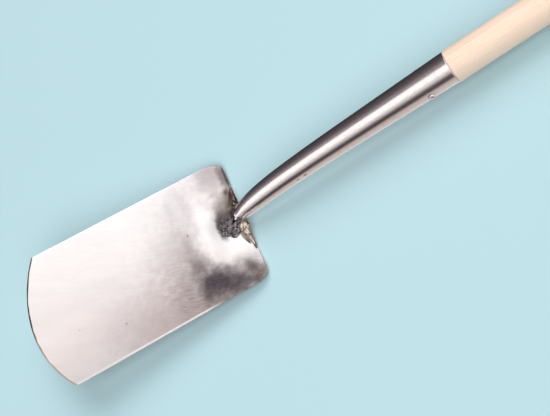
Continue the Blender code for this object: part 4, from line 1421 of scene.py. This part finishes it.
class SPADE_OT_finishes(Operator):
    """Build the node groups that the materials share"""
    bl_idname = "spade.finishes"
    bl_label = "Finishes"

    def execute(self, context):
        build_brush_lines()
        build_soft_spot()
        build_scratches()
        build_wood_grain()
        return {"FINISHED"}


class SPADE_OT_blade(Operator):
    """Build the ground and pressed blade"""
    bl_idname = "spade.blade"
    bl_label = "Blade"

    def execute(self, context):
        settings = context.scene.spade_blade
        shell, soft = blade_sheet(settings)
        piece = make_piece("blade_plate", shell, blade_finish(settings),
                           ["blade"], soft_edges=soft)
        bevel = piece.modifiers.new("rounded_rim", "BEVEL")
        bevel.limit_method = "WEIGHT"
        bevel.width = settings.edge_radius
        bevel.segments = 3
        bevel.use_clamp_overlap = False
        bevel.harden_normals = True
        return {"FINISHED"}


class SPADE_OT_socket(Operator):
    """Build the polished tube with its neck and skirt"""
    bl_idname = "spade.socket"
    bl_label = "Socket"

    def execute(self, context):
        settings = context.scene.spade_socket
        make_piece("socket_tube", socket_shell(settings), tube_finish(settings),
                   ["socket"])
        return {"FINISHED"}


class SPADE_OT_welds(Operator):
    """Build the weld metal round the foot of the tube"""
    bl_idname = "spade.welds"
    bl_label = "Welds"

    def execute(self, context):
        settings = context.scene.spade_weld
        finish = weld_finish(settings)
        make_piece("weld_build_up", build_up_shell(settings), finish,
                   ["front_weld"], 80.0)
        for side, label in SIDES:
            path = along_path(skirt_path(side), BEAD_SPACING)
            make_piece("weld_run_" + label, bead_shell(path, SKIRT_BEAD_RADIUS, settings), finish,
                       ["skirt_weld_" + label], 80.0)
        make_piece("weld_run_back", bead_shell(back_path(), BACK_BEAD_RADIUS, settings), finish,
                   ["back_weld"], 80.0)
        return {"FINISHED"}


class SPADE_OT_handle(Operator):
    """Build the ash shaft with its yoke, and the crossbar"""
    bl_idname = "spade.handle"
    bl_label = "Handle"

    def execute(self, context):
        finish = wood_finish(context.scene.spade_handle)
        make_piece("ash_shaft", shaft_shell(), finish, ["shaft"], 50.0)
        make_piece("ash_crossbar", crossbar_shell(), finish, ["crossbar"], 40.0)
        return {"FINISHED"}


class SPADE_OT_fasteners(Operator):
    """Build the rod, rivets and washers"""
    bl_idname = "spade.fasteners"
    bl_label = "Fasteners"

    def execute(self, context):
        steel = fastener_finish("drawn_steel", DRAWN_STEEL)
        dark = fastener_finish("mandrel_steel", MANDREL_STEEL)
        grip = axis_point(ROD_DISTANCE)
        grip_seat = GRIP_OUTER_HALF_WIDTH - GRIP_SEAT_DEPTH + GAP
        make_piece("rod_of_grip",
                   pin_shell(grip, grip_seat, ROD_RADIUS, ROD_HEAD_RADIUS, ROD_HEAD_HEIGHT),
                   steel, ["grip_rod"])
        yoke = axis_point(SPLIT_DISTANCE - YOKE_RIVET_SETBACK)
        yoke_seat = SHAFT_RADIUS - YOKE_SEAT_DEPTH + GAP
        make_piece("rivet_of_yoke",
                   pin_shell(yoke, yoke_seat, YOKE_RIVET_RADIUS, YOKE_HEAD_RADIUS,
                             YOKE_HEAD_HEIGHT),
                   steel, ["yoke_rivet"])
        for side, label in SIDES:
            make_piece("washer_of_grip_" + label,
                       washer_shell(grip, grip_seat, side, ROD_RADIUS, GRIP_WASHER_RADIUS),
                       steel, ["grip_washer_" + label])
            make_piece("washer_of_yoke_" + label,
                       washer_shell(yoke, yoke_seat, side, YOKE_RIVET_RADIUS, YOKE_WASHER_RADIUS),
                       steel, ["yoke_washer_" + label])
            sleeve, mandrel = blind_rivet_shells(side)
            make_piece("blind_rivet_" + label, sleeve, steel, ["rivet_" + label])
            make_piece("rivet_pin_" + label, mandrel, dark, ["mandrel_" + label])
        return {"FINISHED"}


# Camera: turns and shift that map the tool's frame to the photograph, found from its edges
CAMERA_TURNS = (7.22, -28.53, -61.43)
CAMERA_OFFSET = (31.18 * MM, 11.02 * MM, 1570.3 * MM)
FOCAL_PIXELS = 1500.0
IMAGE_WIDTH = 550.0
SENSOR_WIDTH = 36.0


def place_camera():
    """Camera that sees the tool as the photograph does."""
    x_turn, y_turn, z_turn = (math.radians(angle) for angle in CAMERA_TURNS)
    turn = (Matrix.Rotation(z_turn, 3, "Z") @ Matrix.Rotation(x_turn, 3, "X")
            @ Matrix.Rotation(y_turn, 3, "Y")).transposed()
    pose = turn.to_4x4()
    pose.translation = turn @ Vector(CAMERA_OFFSET)
    data = bpy.data.cameras.new("camera")
    data.sensor_width = SENSOR_WIDTH
    data.lens = SENSOR_WIDTH * FOCAL_PIXELS / IMAGE_WIDTH
    camera = add_object("camera", data)
    camera.matrix_world = LIE @ pose
    bpy.context.scene.camera = camera
    return camera


# Brightness and tint of the studio round the tool's line: degrees from the camera's side
DARK_TINT = (1.0, 0.88, 0.98)
WHITE_TINT = (1.0, 0.985, 0.98)
WALL_TINT = (1.0, 0.88, 0.81)
FLOOR_TINT = (0.93, 1.0, 0.98)
STUDIO_ROUND = (
    (-180.0, 0.06, DARK_TINT), (-135.0, 0.055, DARK_TINT), (-105.0, 0.08, DARK_TINT),
    (-80.0, 0.11, DARK_TINT), (-66.0, 0.16, DARK_TINT), (-54.0, 0.29, DARK_TINT),
    (-39.0, 0.38, DARK_TINT), (-31.0, 1.20, WHITE_TINT), (-23.0, 1.50, WHITE_TINT),
    (-1.0, 1.40, WHITE_TINT), (11.0, 1.06, WHITE_TINT), (24.0, 0.72, WHITE_TINT),
    (36.0, 0.36, DARK_TINT), (45.0, 0.10, DARK_TINT), (65.0, 0.07, DARK_TINT),
    (84.0, 0.61, WALL_TINT), (100.0, 0.74, WALL_TINT), (138.0, 0.74, FLOOR_TINT),
    (158.0, 1.05, FLOOR_TINT), (180.0, 0.50, FLOOR_TINT))
BRIGHTEST = 2.0

# The soft box above the blade: outer and inner fades, in degrees round and along the tool
OVERHEAD_ROUND = (-105.0, -48.0, 60.0, 90.0)
OVERHEAD_ALONG = (-6.0, 12.0, 60.0, 80.0)

# It is dimmer toward one side: degrees round the tool, and its least share
OVERHEAD_FALL = (-45.0, 40.0)
OVERHEAD_LEAST = 0.62

# What the camera sees past the floor
BACKDROP = (0.515, 0.716, 0.775)

# The white stripe widens toward the blade, where only the swan neck shows it
STRIPE_MIDDLE = 12.0
STRIPE_FLARE = 0.26
STRIPE_FLARE_RUN = (-14.0, -44.0)

# Lamps: name, place, width and share of the fill's power; the point that lamps and studio face
LAMPS = (("broad_fill", Vector((-2.0, 0.8, 3.2)), 4.0, 1.0),
         ("camera_side_fill", Vector((2.6, -0.6, 3.6)), 4.4, 1.45))
AIM_POINT = Vector((0.0, -0.05, 0.0))
FLOOR_REACH = 4.0


def studio_world(settings, toward_camera):
    """Studio that only gloss sees: stripes along the tool, and a soft box above the blade."""
    world = bpy.data.worlds.new("studio")
    bpy.context.scene.world = world
    world.use_nodes = True
    world.cycles_visibility.diffuse = False
    tree = world.node_tree
    turn = LIE.to_3x3()
    along = turn @ AXIS
    middle = (toward_camera - along * toward_camera.dot(along)).normalized()
    low_side = along.cross(middle)
    direction = add_node(tree, "ShaderNodeTexCoord").outputs["Generated"]

    def part(axis):
        """Share of the view's direction along an axis."""
        return vector_maths("DOT_PRODUCT", direction, axis, "Value")

    def fade(angle, degrees, to_low=0.0, to_high=1.0, smooth=True):
        """Ramp between two angles."""
        low, high = (math.radians(value) for value in degrees)
        return ramp(angle, low, high, to_low, to_high, smooth)

    def window(angle, fades):
        """1 between the two inner degrees, fading to 0 at the outer ones."""
        return times(fade(angle, fades[:2]), fade(angle, (fades[3], fades[2])))

    round_angle = maths("ARCTAN2", part(low_side), part(middle))
    along_angle = maths("ARCSINE", part(along))
    from_stripe = plus(round_angle, math.radians(STRIPE_MIDDLE))
    flare = fade(along_angle, STRIPE_FLARE_RUN, 0.0, STRIPE_FLARE, False)
    seen_angle = minus(round_angle, times(from_stripe, flare))
    stops = linked_node("ShaderNodeValToRGB", {"Fac": ramp(seen_angle, -math.pi, math.pi)})
    elements = stops.color_ramp.elements
    while len(elements) < len(STUDIO_ROUND):
        elements.new(0.5)
    for element, (degrees, brightness, tint) in zip(elements, STUDIO_ROUND):
        element.position = (degrees + 180.0) / 360.0
        element.color = (*(channel * brightness / BRIGHTEST for channel in tint), 1.0)
    room = scaled(stops.outputs["Color"], (BRIGHTEST * settings.room_strength,) * 3)
    overhead = times(window(round_angle, OVERHEAD_ROUND), window(along_angle, OVERHEAD_ALONG))
    panel = linked_node("ShaderNodeVectorMath",
                        {0: tuple(channel * settings.overhead_strength for channel in WHITE_TINT),
                         "Scale": fade(round_angle, OVERHEAD_FALL, 1.0, OVERHEAD_LEAST, False)},
                        operation="SCALE").outputs[0]
    seen = add_node(tree, "ShaderNodeLightPath").outputs["Is Camera Ray"]
    lit = mix_vector(overhead, room, panel)
    tree.links.new(mix_vector(seen, lit, BACKDROP), tree.nodes["Background"].inputs["Color"])


def area_light(name, place, target, width, power):
    """Square lamp that gloss doesn't show."""
    data = bpy.data.lights.new(name, "AREA")
    data.size = width
    data.energy = power
    lamp = add_object(name, data)
    lamp.matrix_world = (Matrix.Translation(place)
                         @ (target - place).to_track_quat("-Z", "Y").to_matrix().to_4x4())
    lamp.visible_glossy = False


def lay_floor(settings):
    """Plain floor of pale paper."""
    mesh = bpy.data.meshes.new("floor")
    corners = [(x * FLOOR_REACH, y * FLOOR_REACH, 0.0)
               for x, y in ((-1, -1), (1, -1), (1, 1), (-1, 1))]
    mesh.from_pydata(corners, [], [(0, 1, 2, 3)])
    material = bpy.data.materials.new("floor_paper")
    material.use_nodes = True
    tree = material.node_tree
    shader = tree.nodes["Principled BSDF"]
    shader.inputs["Roughness"].default_value = 0.9
    shader.inputs["Specular IOR Level"].default_value = 0.1
    place = add_node(tree, "ShaderNodeTexCoord").outputs["Object"]
    grain = soft_noise(place, 3.0, 2.0, 0.5)
    base = tuple(settings.floor_colour)
    tree.links.new(mix_colour(grain, base, tuple(c * 0.985 for c in base)),
                   shader.inputs["Base Color"])
    mesh.materials.append(material)
    floor = add_object("floor", mesh)
    floor.visible_glossy = False


class SPADE_OT_stage(Operator):
    """Lay the floor and set the light and the camera"""
    bl_idname = "spade.stage"
    bl_label = "Stage"

    def execute(self, context):
        settings = context.scene.spade_stage
        camera = place_camera()
        lay_floor(settings)
        middle = LIE @ AIM_POINT
        studio_world(settings, (camera.matrix_world.translation - middle).normalized())
        for name, place, width, share in LAMPS:
            area_light(name, place, middle, width, settings.fill_power * share)
        context.scene.view_settings.view_transform = "Standard"
        return {"FINISHED"}


class SPADE_PT_pieces(Panel):
    """Buttons that build the spade and its stage"""
    bl_idname = "SPADE_PT_pieces"
    bl_label = "Digging Spade"
    bl_space_type = "VIEW_3D"
    bl_region_type = "UI"
    bl_category = "Spade"

    def draw(self, context):
        layout = self.layout
        for operator in OPERATORS:
            layout.operator(operator.bl_idname)
        for name, group in SETTINGS.items():
            settings = getattr(context.scene, name)
            box = layout.box()
            for key in group.__annotations__:
                box.prop(settings, key)


OPERATORS = (SPADE_OT_finishes, SPADE_OT_blade, SPADE_OT_socket, SPADE_OT_welds,
             SPADE_OT_handle, SPADE_OT_fasteners, SPADE_OT_stage)
CLASSES = (*SETTINGS.values(), *OPERATORS, SPADE_PT_pieces)


def register():
    """Register the classes and hang the settings on the scene."""
    for item in CLASSES:
        bpy.utils.register_class(item)
    for name, group in SETTINGS.items():
        setattr(bpy.types.Scene, name, PointerProperty(type=group))


def unregister():
    """Undo what register did."""
    for name in SETTINGS:
        delattr(bpy.types.Scene, name)
    for item in reversed(CLASSES):
        bpy.utils.unregister_class(item)


def main():
    """Build every piece and the stage."""
    register()
    for name in ("finishes", "blade", "socket", "welds", "handle", "fasteners", "stage"):
        getattr(bpy.ops.spade, name)()


if __name__ == "__main__":
    main()
